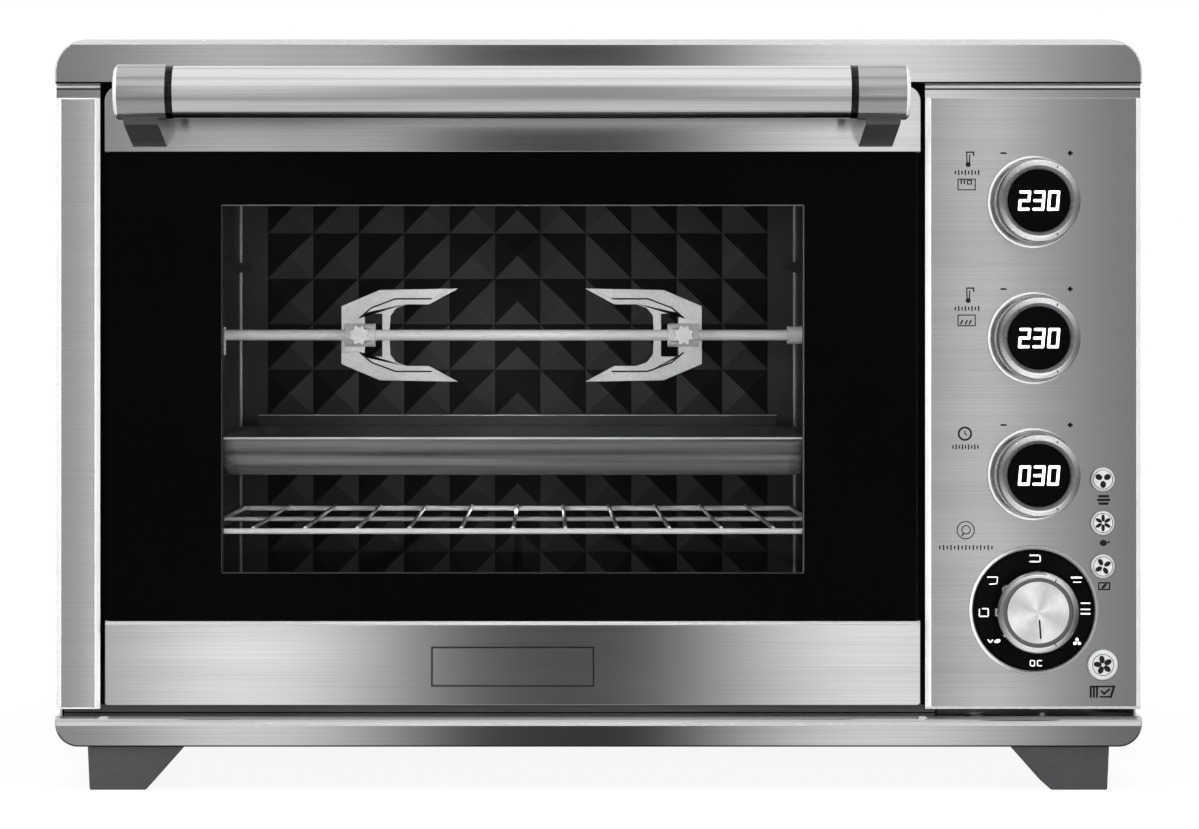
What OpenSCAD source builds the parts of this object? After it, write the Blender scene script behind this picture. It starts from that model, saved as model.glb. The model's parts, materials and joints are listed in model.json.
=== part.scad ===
// Electric countertop oven with a drop-down glass door, a rotisserie and a column of controls.
// Millimetres, +Z up, front towards -Y, origin on the table under the middle of the overall box.

/* [Cabinet] */
// Overall width
body_w = 560; // [530:1:620]
// Overall height with the feet
body_h = 387; // [380:1:420]
// Depth from the front plane to the rear edge
body_d = 400; // [385:1:450]
// Thickness of the sheet steel
sheet = 1; // [0.8:0.1:1.4]
// Radius of the two upper corners
top_corner_r = 16.5; // [8:0.5:20]
// Radius of the two lower corners
low_corner_r = 12; // [4:0.5:14]
// Depth of the rear panel inside the rear edge
rear_inset = 6; // [5:0.5:12]
// Height of the feet
foot_h = 22.5; // [18:0.5:30]
// Width of a vent slot
vent_w = 3.2; // [2:0.1:4]
// Length of a vent slot
vent_len = 44; // [30:1:52]
// Pitch of the vent slots
vent_pitch = 9; // [7:0.5:11]
// Slots in one vent field
vent_count = 9; // [5:1:11]
// Distance between vent fields on the sides and the rear
field_pitch = 57.2; // [54:0.2:62]
// Distance between the vent fields in the underside
base_field_pitch = 105.6; // [80:0.2:130]
// Distance from the rear panel to the middle of the side vents
side_field_back = 96.8; // [85:0.2:130]
// Width of a foot at its top
foot_top_w = 50; // [40:1:60]
// Width of a foot on the table
foot_low_w = 30; // [24:1:40]
// Slant of the outer side of a foot
foot_draft = 1; // [0:0.5:3]
// Depth of a foot
foot_d = 44; // [30:1:60]
// Distance of a foot from the side of the cabinet
foot_side = 16.5; // [12:0.5:30]
// Distance of the front feet from the front plane
foot_front = 3; // [2:1:40]
// Distance of the rear feet from the rear edge
foot_rear = 24; // [10:1:40]
// Distance of the cord gland from the right side
gland_inset = 42; // [30:1:60]
// Height of the cord gland above the base rail
gland_rise = 26; // [20:1:40]
// Diameter of the gland in the rear panel
gland_neck_d = 16; // [12:0.5:18]
// Diameter of the gland over its flange
gland_flange_d = 24; // [20:0.5:28]
// Bore of the gland for the supply lead
gland_bore = 8.4; // [6:0.2:10]
// Thickness of the flange behind the rear panel
gland_flange_t = 3.5; // [2:0.5:5]
// Thickness of the nut inside the rear panel
gland_nut_t = 5; // [3:0.5:8]

/* [Front trim] */
// Skin of the formed trim pieces
trim_skin = 1.5; // [1:0.1:2]
// Height of the cap along the top
cap_h = 22.7; // [20:0.1:26]
// Gap between the cap and the posts below it
reveal_h = 7.5; // [5:0.5:9]
// Width of the left post
post_w = 22.6; // [18:0.2:26]
// Width of the control fascia
fascia_w = 111; // [106:0.5:118]
// Chamfer on the front edges of the trim
trim_chamfer = 2.4; // [1.6:0.1:3]
// Height of the base rail
rail_h = 15.5; // [14:0.5:18]
// Gap between the base rail and the posts above it
post_gap = 4; // [2:0.5:6]
// Step from the side of the cabinet to the posts
side_step = 0.5; // [0.2:0.1:0.8]
// Setback of the lips between the cap and the posts
reveal_step = 3; // [2:0.5:5]
// Lap of the front frame behind the fascia
frame_lap = 8; // [5:0.5:12]

/* [Door] */
// Gap at each side of the door
door_gap = 2.6; // [2.4:0.1:3.4]
// Gap above the door
door_top_gap = 1.3; // [1:0.1:2.5]
// Gap between the base rail and the door
door_low_gap = 6; // [5:0.5:8]
// Thickness of the door
door_d = 20; // [19:0.5:24]
// Skin of the door's steel pieces
door_skin = 1.2; // [1:0.1:1.6]
// Radius of the door's upper corners
door_corner_r = 7.7; // [5:0.1:10]
// Height of the upper rail
top_rail_h = 34; // [30:0.5:40]
// Height of the lower rail
bottom_rail_h = 43.3; // [38:0.1:50]
// Thickness of each glass pane
glass_t = 4; // [3:0.5:5]
// How far a pane reaches behind the rails or the window edge
glass_lap = 6; // [4:0.5:8]
// Width of the black border beside the window
window_side = 59.6; // [50:0.1:70]
// Distance from the upper rail down to the window
window_drop = 27; // [15:0.5:35]
// Distance from the lower rail up to the window
window_rise = 24.2; // [15:0.1:30]
// Width of the bare plate pressed in the lower rail
plate_w = 82; // [60:1:120]
// Height of that plate
plate_h = 18.7; // [12:0.1:24]
// Depth of that plate
plate_depth = 0.6; // [0.3:0.1:0.8]
// How far that plate sits below the middle of the rail
plate_drop = 1.8; // [0:0.1:3]
// Diameter of the hinge pins
pin_d = 6; // [5:0.5:7]
// Height of the hinge pins above the lower edge of the door
pin_rise = 6; // [5.5:0.1:7]
// Distance of the hinge pins behind the front plane
pin_back = 9; // [8:0.5:10]
// Length of a pin inside the door
pin_len = 14; // [10:0.5:20]
// Wall of the bosses round the hinge pins
pin_wall = 3; // [2:0.5:4]
// Thickness of a hinge cheek
hinge_t = 1.4; // [1:0.1:2]
// Height of a hinge cheek
hinge_h = 22; // [18:1:30]
// Radius of the lower corners of the door
door_foot_r = 2; // [1:0.5:4]
// Thickness of the black frame behind the outer pane
backing_t = 1; // [0.8:0.1:1.5]
// Wall of the tunnel between the panes
window_wall = 1.2; // [0.8:0.1:2]
// How far the inner pane reaches past the window
inner_lap = 8; // [5:0.5:12]

/* [Handle] */
// Diameter of the tube
handle_d = 26.6; // [22:0.2:30]
// Wall of the tube
handle_wall = 1.5; // [1:0.1:2.5]
// Reach of the handle in front of the door
handle_reach = 57; // [52:1:64]
// Length over both brackets
handle_len = 400; // [380:1:410]
// Length of a bracket's sleeve
sleeve_len = 26.3; // [22:0.1:32]
// How far the sleeve stands out beyond the tube all round
sleeve_proud = 0.7; // [0.3:0.1:1.2]
// Length of a dark ring
ring_len = 3.3; // [2:0.1:5]
// Height of the tube's axis above the lower edge of the upper rail
handle_rise = 27.9; // [26:0.1:32]
// Width of a bracket's leg
leg_w = 17.5; // [14:0.5:22]
// Length of the spigot in the tube
spigot_len = 12; // [8:1:20]
// Chamfer on the outer end of a sleeve
sleeve_chamfer = 1.6; // [0.8:0.1:2.4]
// Height of the leg above the lower edge of the rail
leg_foot = 2.5; // [1.5:0.1:4]
// Height of the leg where it meets the rail
leg_foot_h = 21; // [16:0.5:24]
// How far the lower corner of the leg stands before the axis of the tube
leg_nose = 1.4; // [0:0.1:4]
// Angle below the level of the axis where the leg leaves the sleeve
leg_angle = 50; // [35:1:65]

/* [Cavity] */
// Distance from the door's edges to the walls of the cavity
cavity_margin = 43.1; // [40:0.1:49]
// Distance from the cap down to the cavity ceiling
ceiling_drop = 34.3; // [31:0.1:40]
// Inner depth from the front frame to the back wall
cavity_d = 306; // [296:1:312]
// Height of the cavity floor above the base rail
floor_rise = 34; // [30:1:36]
// Pitch of the pyramids
pyramid_pitch = 27.3; // [20:0.1:27.5]
// Height of a pyramid
pyramid_h = 8; // [4:0.5:10]
// Thickness of the front frame
frame_t = 1.5; // [1:0.1:2]
// Thickness of the door gasket
gasket_t = 2.2; // [1.5:0.1:3]
// Width of the door gasket
gasket_w = 8; // [5:0.5:10]
// Smallest plain margin beside the pyramids
pyramid_side = 16; // [10:1:30]
// Smallest plain margin above and below the pyramids
pyramid_end = 4; // [3:1:20]

/* [Shelves] */
// Reach of a shelf runner from its wall
runner_reach = 8; // [7:0.5:10]
// Height of a shelf runner
runner_h = 5; // [3:0.5:7]
// Height of the tray's runners as a share of the cavity
tray_share = 0.4186; // [0.39:0.0001:0.44]
// Height of the rack's runners as a share of the cavity
rack_share = 0.2248; // [0.2:0.0001:0.25]
// Height of the spare runners as a share of the cavity
spare_share = 0.795; // [0.77:0.001:0.81]
// Gap between a shelf and each side wall
shelf_gap = 2; // [1:0.5:4]
// Depth of the baking tray
tray_depth = 20; // [15:0.5:26]
// Wall of the baking tray
tray_wall = 1.2; // [0.8:0.1:2]
// Gap between the pan of the tray and each runner
tray_play = 3; // [2:0.5:5]
// Diameter of the rack's frame wire
rack_frame_d = 3; // [2.5:0.5:5]
// Diameter of the rack's cross wires
rack_wire_d = 2; // [1.5:0.5:3]
// Count of the rack's cross wires
rack_wires = 11; // [7:1:13]
// Height of the crumb tray
crumb_h = 5; // [4:0.5:8]
// Distance that a shelf slides before it meets the door
shelf_slide = 10; // [6:0.5:11]
// Thickness of a runner at its tip
runner_tip = 1.6; // [1:0.1:3]
// How far the walls of the pan lean in
tray_draft = 2.5; // [1:0.5:8]
// Corner radius of the pan
tray_corner_r = 10; // [6:0.5:16]
// Height of the upstand along the rear of the tray's flange
tray_upstand = 6.5; // [3:0.5:9]
// Diameter of the middle bar of the rack
rack_bar_d = 2.5; // [2:0.5:4]
// Wall of the crumb tray
crumb_wall = 0.8; // [0.6:0.1:1.2]

/* [Heaters] */
// Diameter of a heater tube
heater_d = 8; // [6:0.5:10]
// Distance of the heaters from the ceiling and from the floor
heater_inset = 13; // [11:0.5:16]
// Distance from the front frame to the first heater
heater_front = 90; // [70:1:110]
// Distance between the two heaters of a pair
heater_pitch = 130; // [100:1:150]
// Diameter of a ceramic bushing
bushing_d = 18; // [14:0.5:20]
// Length of a ceramic bushing
bushing_len = 8; // [5:0.5:10]
// Length of a heater terminal outside its bushing
terminal_len = 7; // [5:0.5:10]

/* [Rotisserie] */
// Diameter of the spit
spit_d = 6; // [5:0.5:8]
// Height of the spit as a share of the cavity
spit_share = 0.6318; // [0.6:0.0001:0.66]
// Distance from the front frame to the spit
spit_front = 141; // [130:1:155]
// Width across one fork's two prongs
fork_span = 52; // [44:1:60]
// Length of a fork from its back to its tips
fork_len = 65; // [50:1:70]
// Thickness of a fork's plate
fork_t = 2.4; // [1.6:0.1:3]
// Distance from the left wall to the back of the left fork
left_fork_inset = 70; // [60:1:85]
// Distance from the right wall to the back of the right fork
right_fork_inset = 63; // [60:1:85]
// Diameter of a fork's hub
hub_d = 13; // [12:0.5:16]
// Length of a fork's hub
hub_len = 17; // [12:0.5:20]
// Diameter of the thumbscrew's head
thumb_d = 11; // [9:0.5:14]
// Gap between the tip of the spit and the wall
spit_tip = 1; // [0.8:0.1:2]
// Side of the square tang as a share of the diameter of the spit
tang_share = 0.7; // [0.6:0.02:0.7]
// Length of the square tang
tang_len = 10; // [6:0.5:12]
// Diameter of the drive socket
socket_d = 10; // [9:0.5:14]
// Length of the drive socket
socket_len = 14; // [13:0.5:20]
// Gap between the socket and the wall
socket_gap = 1.5; // [1:0.1:3]
// Diameter of the drive shaft
drive_d = 8; // [6:0.5:10]
// Reach of the hook that carries the tip of the spit
bracket_reach = 5; // [4.5:0.5:9]
// Width of that hook
bracket_w = 14; // [12:0.5:26]
// Height of that hook below the spit
bracket_drop = 11; // [9:0.5:20]
// Height of that hook above the axis of the spit
bracket_lip = 4.5; // [4:0.5:9]
// Distance from the back of a fork to its hub
hub_start = 2; // [1:0.5:4]
// Diameter of the boss for a thumbscrew
boss_d = 8; // [7:0.5:10]
// How far the boss stands out of the hub
boss_proud = 3; // [2:0.5:5]
// Height of the pressed rib on a fork
rib_t = 0.8; // [0.5:0.1:1.2]
// Diameter of a thumbscrew
thumb_stem_d = 4; // [3:0.5:5]
// Height of the head of a thumbscrew
thumb_head_h = 5; // [4:0.5:7]
// Scallops round the head of a thumbscrew
grip_count = 8; // [6:1:10]
// Diameter of a scallop
grip_d = 2.4; // [1.8:0.1:3]
// Diameter of the gearbox of the spit
gearbox_d = 52; // [40:1:60]
// Height of that gearbox
gearbox_h = 20; // [14:1:26]
// Diameter of the motor on the gearbox
spit_motor_d = 38; // [30:1:46]
// Height of that motor
spit_motor_h = 14; // [10:1:20]
// Length of a shaft inside its motor
motor_grip = 10; // [8:0.5:12]

/* [Controls] */
// Distance from the top of the fascia down to the highest knob
knob_drop = 53.8; // [48:0.1:58]
// Height of the lowest display knob above the function knob
function_drop = 70; // [66:0.5:74]
// Height of the function knob above the base rail
function_rise = 55; // [50:0.5:60]
// Diameter of a display
display_d = 31.8; // [30:0.1:32]
// Diameter of a display knob over its front ring
knob_d = 43; // [42:0.2:43.4]
// Height of a display knob above the fascia
knob_h = 25; // [20:0.5:28]
// Outer diameter of a bezel
bezel_d = 47.6; // [47:0.1:49]
// Width of a bezel
bezel_w = 1.4; // [1:0.1:1.5]
// Height of a bezel
bezel_h = 2.6; // [1:0.1:4]
// Diameter of the dial plate
dial_d = 62.6; // [56:0.2:66]
// Thickness of the dial plate
dial_t = 1.2; // [0.6:0.1:2]
// Diameter of the function knob
function_d = 42.4; // [38:0.2:46]
// Height of the function knob above the fascia
function_h = 21.5; // [18:0.5:25]
// Diameter of the function knob's shaft
shaft_d = 6; // [5:0.5:8]
// Diameter of a small button
button_d = 12.4; // [10:0.2:14]
// Pitch of the small buttons
button_pitch = 22.35; // [20:0.05:24]
// Distance of the buttons from the middle of the fascia
button_offset = 35.5; // [34.5:0.5:40]
// Height of the lowest small button above the function knob
button_rise = 22.6; // [20:0.1:26]
// Diameter of the start button
start_d = 15.8; // [14:0.2:18]
// Depth of the start button below the function knob
start_drop = 28.1; // [26:0.1:32]
// How far a button stands proud of the fascia
button_proud = 2.6; // [2:0.1:3.5]
// Travel of a button
button_travel = 1.6; // [1:0.1:1.8]
// How far a display sits below the face of its knob
display_inset = 2.4; // [1.8:0.1:3]
// Chamfer on a display
display_chamfer = 0.6; // [0.3:0.1:1]
// Wall of the sleeve behind a display knob
tail_wall = 1.5; // [1.2:0.1:2]
// Gap between a knob and what it turns on
knob_lift = 0.6; // [0.4:0.1:1]
// Taper of the side of a display knob
knob_taper = 0.3; // [0.1:0.1:1]
// Height of the front ring of a display knob
ring_h = 5; // [3:0.5:7]
// Step from the side of a display knob in to its front ring
ring_step = 0.3; // [0.2:0.1:0.6]
// Bevel on the outer and inner edge of the front ring
ring_bevel = 0.8; // [0.5:0.1:1.4]
// Bevel from the face of a display knob down to its display
bore_bevel = 2.4; // [1.5:0.1:2.6]
// Taper of the side of the function knob
function_taper = 0.4; // [0.1:0.1:1]
// Bevel on the edge of the function knob
function_bevel = 2; // [1:0.1:3]
// Width of the flat rim of the function knob
function_rim = 1.6; // [1:0.1:3]
// How far the face of the function knob sits below its rim
face_drop = 1.2; // [0.5:0.1:2]
// Width of the groove round the face of the function knob
groove_w = 1.7; // [1:0.1:2.5]
// Depth of that groove below the rim
groove_depth = 3; // [2:0.1:4]
// Height of the lip round the dial plate
dial_lip = 0.6; // [0.3:0.1:1]
// Width of the plated ring round the dial plate
dial_ring_w = 1.6; // [1:0.1:2]
// Diameter of an encoder
encoder_d = 45; // [44:0.5:48]
// Length of an encoder
encoder_len = 8; // [6:0.5:10]
// Thickness of the circuit boards
board_t = 1.6; // [1:0.1:2]
// Width of the display board
display_board_w = 48; // [44:1:56]
// How far the display board reaches past the end knobs
display_board_margin = 26; // [22:1:30]
// Width of the rotary switch
switch_w = 32; // [26:1:40]
// Depth of the rotary switch
switch_depth = 16; // [14:0.5:20]
// Length of the function shaft inside its switch
shaft_grip = 12; // [8:0.5:13]
// Bevel on the face of a button
button_bevel = 0.8; // [0.4:0.1:1.2]
// Length of a button behind the fascia
stem_len = 4.5; // [3.5:0.1:6]
// Thickness of the keeper flange of a button
flange_t = 1.2; // [0.8:0.1:1.6]
// Gap between that flange and the fascia
flange_gap = 0.5; // [0.3:0.1:0.8]
// Width of that flange
flange_lap = 1; // [0.8:0.1:1.4]
// Width of a press switch
tact_w = 6; // [5:0.5:7]
// Height of a press switch
tact_h = 3.5; // [3:0.1:5]
// Width of the button board
button_board_w = 18; // [14:1:20]
// How far the button board reaches past the end buttons
button_board_margin = 12; // [9:0.5:13]
// Diameter of a standoff
standoff_d = 4.6; // [4:0.1:6]
// Gap between the partition and the supply board
power_gap = 8; // [5:0.5:12]
// Width of the supply board
power_w = 110; // [100:1:120]
// Height of the supply board
power_h = 96; // [90:1:104]
// Height of the supply board above the base rail
power_rise = 18; // [12:1:30]
// Distance of the parts on the supply board from its edges
part_margin = 12; // [10:0.5:14]
// Width of the transformer
transformer_w = 40; // [30:1:46]
// Height of the transformer
transformer_h = 36; // [30:1:60]
// Depth of the transformer
transformer_d = 34; // [20:1:40]
// Width of a relay
relay_w = 28; // [20:1:30]
// Height of a relay
relay_h = 20; // [14:1:22]
// Depth of a relay
relay_d = 17; // [12:1:22]
// Pitch of the three relays
relay_pitch = 26; // [23:0.5:27]

/* [Fan] */
// Diameter of the fan rotor
rotor_d = 96; // [80:1:110]
// Count of the fan blades
blade_count = 10; // [6:1:14]
// Width of the fan blades along the shaft
blade_w = 12; // [8:0.5:13]
// Distance from the spit to the fan shaft
fan_back = 74; // [70:1:85]
// Drop from the spit to the fan shaft
fan_drop = 45; // [40:1:60]
// Gap on each side of the rotor
fan_gap = 7; // [5:0.5:9]
// Thickness of the rotor disc
rotor_disc_t = 1.4; // [1:0.1:2]
// Diameter of the rotor hub
rotor_hub_d = 18; // [14:0.5:22]
// Thickness of a blade
blade_t = 1.2; // [0.8:0.1:2]
// Rake of the blades
blade_angle = 32; // [15:1:45]
// Diameter of the fan shaft
fan_shaft_d = 5; // [4:0.5:7]
// Diameter of the fan motor
fan_motor_d = 44; // [36:1:52]
// Height of the fan motor
fan_motor_h = 34; // [26:1:40]
// Diameter of the holes in front of the fan
fan_hole_d = 6; // [4:0.5:7]
// Pitch of the rings of those holes
fan_hole_pitch = 10; // [9:0.5:14]
// Rings of those holes
fan_hole_rings = 3; // [2:1:4]

/* [Fits] */
// Radial clearance of a running fit
running_fit = 0.08; // [0.05:0.01:0.1]
// Clearance of a loose fit
loose_fit = 0.4; // [0.3:0.05:0.6]

/* [Hidden] */
$fn = 64;
// Overshoot of a cut past the face it opens
cut = 1;
// Thickness of the discs that the pan is drawn between
pan_disc = 0.1;
half_w = body_w / 2;
front = (handle_reach - body_d) / 2;
rear = front + body_d;
rear_face = rear - rear_inset;
base_top = foot_h + rail_h;
cap_z = body_h - cap_h;
post_top = cap_z - reveal_h;
post_low = base_top + post_gap;
frame_y = front + door_d + gasket_t + loose_fit;
cavity_y = frame_y + frame_t;
back_y = cavity_y + cavity_d;

post_x0 = side_step - half_w;
post_x1 = post_x0 + post_w;
fascia_x1 = half_w - side_step;
fascia_x0 = fascia_x1 - fascia_w;

door_x0 = post_x1 + door_gap;
door_x1 = fascia_x0 - door_gap;
door_mid = (door_x0 + door_x1) / 2;
door_z0 = base_top + door_low_gap;
door_z1 = cap_z - door_top_gap;
low_rail_z1 = door_z0 + bottom_rail_h;
top_rail_z0 = door_z1 - top_rail_h;
window_x = [door_x0 + window_side, door_x1 - window_side];
window_z = [low_rail_z1 + window_rise, top_rail_z0 - window_drop];
glass_y = front + door_skin;
backing_y = glass_y + glass_t;
panel_y = front + door_d - door_skin;
inner_glass_y = panel_y - glass_t;
door_lining = door_skin + loose_fit;
pin_y = front + pin_back;
pin_z = door_z0 + pin_rise;
pin_boss = pin_d + 2 * pin_wall;

handle_r = handle_d / 2;
sleeve_r = handle_r + sleeve_proud;
handle_y = front - handle_reach + sleeve_r;
handle_z = top_rail_z0 + handle_rise;
handle_x0 = door_mid - handle_len / 2;
handle_x1 = door_mid + handle_len / 2;
handle_bore = handle_d - 2 * handle_wall;
tube_x = [handle_x0 + sleeve_len + ring_len, handle_x1 - sleeve_len - ring_len];

cavity_x0 = door_x0 + cavity_margin;
cavity_x1 = door_x1 - cavity_margin;
cavity_w = cavity_x1 - cavity_x0;
cavity_z0 = base_top + floor_rise;
cavity_z1 = cap_z - ceiling_drop;
cavity_h = cavity_z1 - cavity_z0;
pyramid_columns = floor((cavity_w - 2 * pyramid_side) / pyramid_pitch);
pyramid_rows = floor((cavity_h - 2 * pyramid_end) / pyramid_pitch);
pattern_x0 = door_mid - pyramid_columns * pyramid_pitch / 2;
pattern_z0 = (cavity_z0 + cavity_z1 - pyramid_rows * pyramid_pitch) / 2;
shelf_y0 = cavity_y + shelf_slide;
shelf_y1 = back_y - pyramid_h - shelf_gap;
tray_level = cavity_h * tray_share;
rack_level = cavity_h * rack_share;
spare_level = cavity_h * spare_share;
tray_z = cavity_z0 + tray_level;
rack_z = cavity_z0 + rack_level + loose_fit + rack_frame_d / 2;

heater_ys = [cavity_y + heater_front, cavity_y + heater_front + heater_pitch];
low_heater_z = cavity_z0 + heater_inset;
high_heater_z = cavity_z1 - heater_inset;

spit_y = cavity_y + spit_front;
spit_z = cavity_z0 + cavity_h * spit_share;
socket_x = cavity_x1 - socket_gap - socket_len;
tang = spit_d * tang_share;
left_fork_x = cavity_x0 + left_fork_inset;
right_fork_x = cavity_x1 - right_fork_inset;
boss_reach = hub_d / 2 + boss_proud;

partition_x = cavity_x1 + sheet + 2 * fan_gap + blade_w;
partition_face = partition_x + sheet;
fan_y = spit_y + fan_back;
fan_z = spit_z - fan_drop;

knob_x = (fascia_x0 + fascia_x1) / 2;
function_z = base_top + function_rise;
timer_z = function_z + function_drop;
knob_pitch = (post_top - knob_drop - timer_z) / 2;
knob_zs = [timer_z, timer_z + knob_pitch, timer_z + 2 * knob_pitch];
button_x = knob_x + button_offset;
button_zs = [for (i = [0:2]) function_z + button_rise + i * button_pitch];
start_z = function_z - start_drop;
fascia_back = front + trim_skin;
gland_x = half_w - gland_inset;
gland_z = base_top + gland_rise;
knob_bore = display_d + 2 * running_fit;
tail_d = knob_bore + 2 * tail_wall;
board_y = fascia_back + encoder_len;
tact_y = fascia_back + stem_len + button_travel + loose_fit;

// Box between two planes on each axis
module slab(x, y, z) {
    translate([x[0], y[0], z[0]])
        cube([x[1] - x[0], y[1] - y[0], z[1] - z[0]]);
}

// Round bar along X
module rod_x(x, y, z, d) {
    translate([x[0], y, z])
        rotate([0, 90, 0])
            cylinder(h = x[1] - x[0], d = d);
}

// Round bar along Y
module rod_y(x, y, z, d) {
    translate([x, y[1], z])
        rotate([90, 0, 0])
            cylinder(h = y[1] - y[0], d = d);
}

// Outline drawn in X and Z, given its depth along Y
module front_plate(y) {
    translate([0, y[1], 0])
        rotate([90, 0, 0])
            linear_extrude(y[1] - y[0])
                children();
}

// Outline drawn in Y and Z, given its length along X
module side_plate(x) {
    translate([x[0], 0, 0])
        rotate([90, 0, 90])
            linear_extrude(x[1] - x[0])
                children();
}

// Solid of revolution that grows out of the fascia towards the front
module fascia_turning(x, z) {
    translate([x, front, z])
        rotate([90, 0, 0])
            rotate_extrude()
                children();
}

// What a corner of the given radius loses; sx and sz point into the panel
module corner_cut(x, z, sx, sz, r) {
    difference() {
        translate([x + sx * (r - cut) / 2, z + sz * (r - cut) / 2])
            square(r + cut, center = true);
        translate([x + sx * r, z + sz * r])
            circle(r);
    }
}

// Rectangle with its upper and lower corners rounded
module rounded_panel(x, z, upper_r, lower_r) {
    difference() {
        translate([x[0], z[0]])
            square([x[1] - x[0], z[1] - z[0]]);
        if (upper_r > 0) {
            corner_cut(x[0], z[1], 1, -1, upper_r);
            corner_cut(x[1], z[1], -1, -1, upper_r);
        }
        if (lower_r > 0) {
            corner_cut(x[0], z[0], 1, 1, lower_r);
            corner_cut(x[1], z[0], -1, 1, lower_r);
        }
    }
}

// Bar that takes a chamfer off an edge along X
module edge_bar(y, z, chamfer) {
    translate([0, y, z])
        rotate([45, 0, 0])
            cube([body_w + 2 * cut, chamfer * sqrt(2), chamfer * sqrt(2)], center = true);
}

// Formed channel, open at the back, with chamfered front edges
module trim_channel(x, z) {
    inner_chamfer = trim_chamfer + trim_skin * (sqrt(2) - 1);
    difference() {
        translate([0, 0, z[0]])
            linear_extrude(z[1] - z[0])
                polygon([
                    [x[0], frame_y], [x[0], front + trim_chamfer], [x[0] + trim_chamfer, front],
                    [x[1] - trim_chamfer, front], [x[1], front + trim_chamfer], [x[1], frame_y]
                ]);
        translate([0, 0, z[0] + trim_skin])
            linear_extrude(z[1] - z[0] - 2 * trim_skin)
                polygon([
                    [x[0] + trim_skin, frame_y + cut], [x[0] + trim_skin, front + inner_chamfer],
                    [x[0] + inner_chamfer, fascia_back], [x[1] - inner_chamfer, fascia_back],
                    [x[1] - trim_skin, front + inner_chamfer], [x[1] - trim_skin, frame_y + cut]
                ]);
    }
}

// Row of vent slots; size is one slot, step the move to the next
module vent_row(count, step, size) {
    for (i = [0:count - 1])
        translate((i - (count - 1) / 2) * step)
            cube(size, center = true);
}

// Bent sheet that makes the top and both sides
module cabinet_wrap() color("silver") difference() {
    front_plate([frame_y, rear])
        difference() {
            rounded_panel([-half_w, half_w], [base_top, body_h], top_corner_r, 0);
            rounded_panel([sheet - half_w, half_w - sheet], [base_top - cut, body_h - sheet],
                          top_corner_r - sheet, 0);
        }
    for (y = [-1, 1] * field_pitch / 2)
        translate([0, rear_face - side_field_back + y, base_top + vent_count * vent_pitch])
            vent_row(vent_count, [0, 0, vent_pitch], [body_w + 2 * cut, vent_len, vent_w]);
}

// Strip along the top of the front, with the set-back lips below it
module top_cap() color("silver") {
    difference() {
        front_plate([front, frame_y])
            rounded_panel([-half_w, half_w], [cap_z, body_h], top_corner_r, 0);
        front_plate([fascia_back, frame_y + cut])
            rounded_panel([trim_skin - half_w, half_w - trim_skin],
                          [cap_z + trim_skin, body_h - trim_skin], top_corner_r - trim_skin, 0);
        edge_bar(front, body_h, trim_chamfer);
    }
    for (x = [[post_x0, post_x1], [fascia_x0, fascia_x1]])
        slab(x, [front + reveal_step, frame_y], [post_top, cap_z + trim_skin / 2]);
}

module left_post() color("silver")
    trim_channel([post_x0, post_x1], [post_low, post_top]);

// Face of the control column, bored for the knobs and the buttons
module control_fascia() color("silver") difference() {
    trim_channel([fascia_x0, fascia_x1], [post_low, post_top]);
    for (z = knob_zs)
        rod_y(knob_x, [front - cut, fascia_back + cut], z, tail_d + 2 * loose_fit);
    rod_y(knob_x, [front - cut, fascia_back + cut], function_z, shaft_d + 2 * loose_fit);
    for (z = button_zs)
        rod_y(button_x, [front - cut, fascia_back + cut], z, button_d + 2 * loose_fit);
    rod_y(button_x, [front - cut, fascia_back + cut], start_z, start_d + 2 * loose_fit);
}

module base_rail() color("silver") difference() {
    front_plate([front, frame_y])
        rounded_panel([-half_w, half_w], [foot_h, base_top], 0, low_corner_r);
    front_plate([fascia_back, frame_y + cut])
        rounded_panel([trim_skin - half_w, half_w - trim_skin],
                      [foot_h + trim_skin, base_top - trim_skin], 0, low_corner_r - trim_skin);
    edge_bar(front, base_top, trim_chamfer);
}

// Trough that closes the underside, slotted for cooling air
module base_pan() color("gray") difference() {
    front_plate([frame_y, rear])
        difference() {
            rounded_panel([-half_w, half_w], [foot_h, base_top], 0, low_corner_r);
            rounded_panel([sheet - half_w, half_w - sheet], [foot_h + sheet, base_top + cut],
                          0, low_corner_r - sheet);
        }
    for (x = [-1, 0, 1] * base_field_pitch)
        translate([x, (frame_y + rear) / 2, foot_h])
            vent_row(vent_count, [0, vent_pitch, 0], [vent_len, vent_w, 4 * sheet]);
}

// Rear closing sheet, slotted behind the cavity and behind the controls
module rear_panel() color("gray") difference() {
    front_plate([rear_face - sheet, rear_face])
        rounded_panel([sheet + loose_fit - half_w, half_w - sheet - loose_fit],
                      [foot_h + sheet, body_h - sheet - loose_fit],
                      top_corner_r - sheet, low_corner_r - sheet);
    for (x = [-2, -1, 0, 1] * field_pitch)
        translate([x, rear_face, body_h - vent_count * vent_pitch])
            vent_row(vent_count, [0, 0, vent_pitch], [vent_len, 4 * sheet, vent_w]);
    for (z = [1, 2] * body_h / 3)
        translate([knob_x, rear_face, z])
            vent_row(vent_count - 2, [0, 0, vent_pitch], [vent_len, 4 * sheet, vent_w]);
    rod_y(gland_x, [rear_face - sheet - cut, rear_face + cut], gland_z, gland_neck_d + 2 * loose_fit);
}

// Inlet bush for the supply lead
module cord_gland() color("dimgray") difference() {
    union() {
        rod_y(gland_x, [rear_face, rear_face + gland_flange_t], gland_z, gland_flange_d);
        rod_y(gland_x, [rear_face - sheet - gland_nut_t, rear_face], gland_z, gland_neck_d);
        rod_y(gland_x, [rear_face - sheet - gland_nut_t, rear_face - sheet], gland_z, gland_flange_d);
    }
    rod_y(gland_x, [rear_face - sheet - gland_nut_t - cut, rear], gland_z, gland_bore);
}

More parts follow.
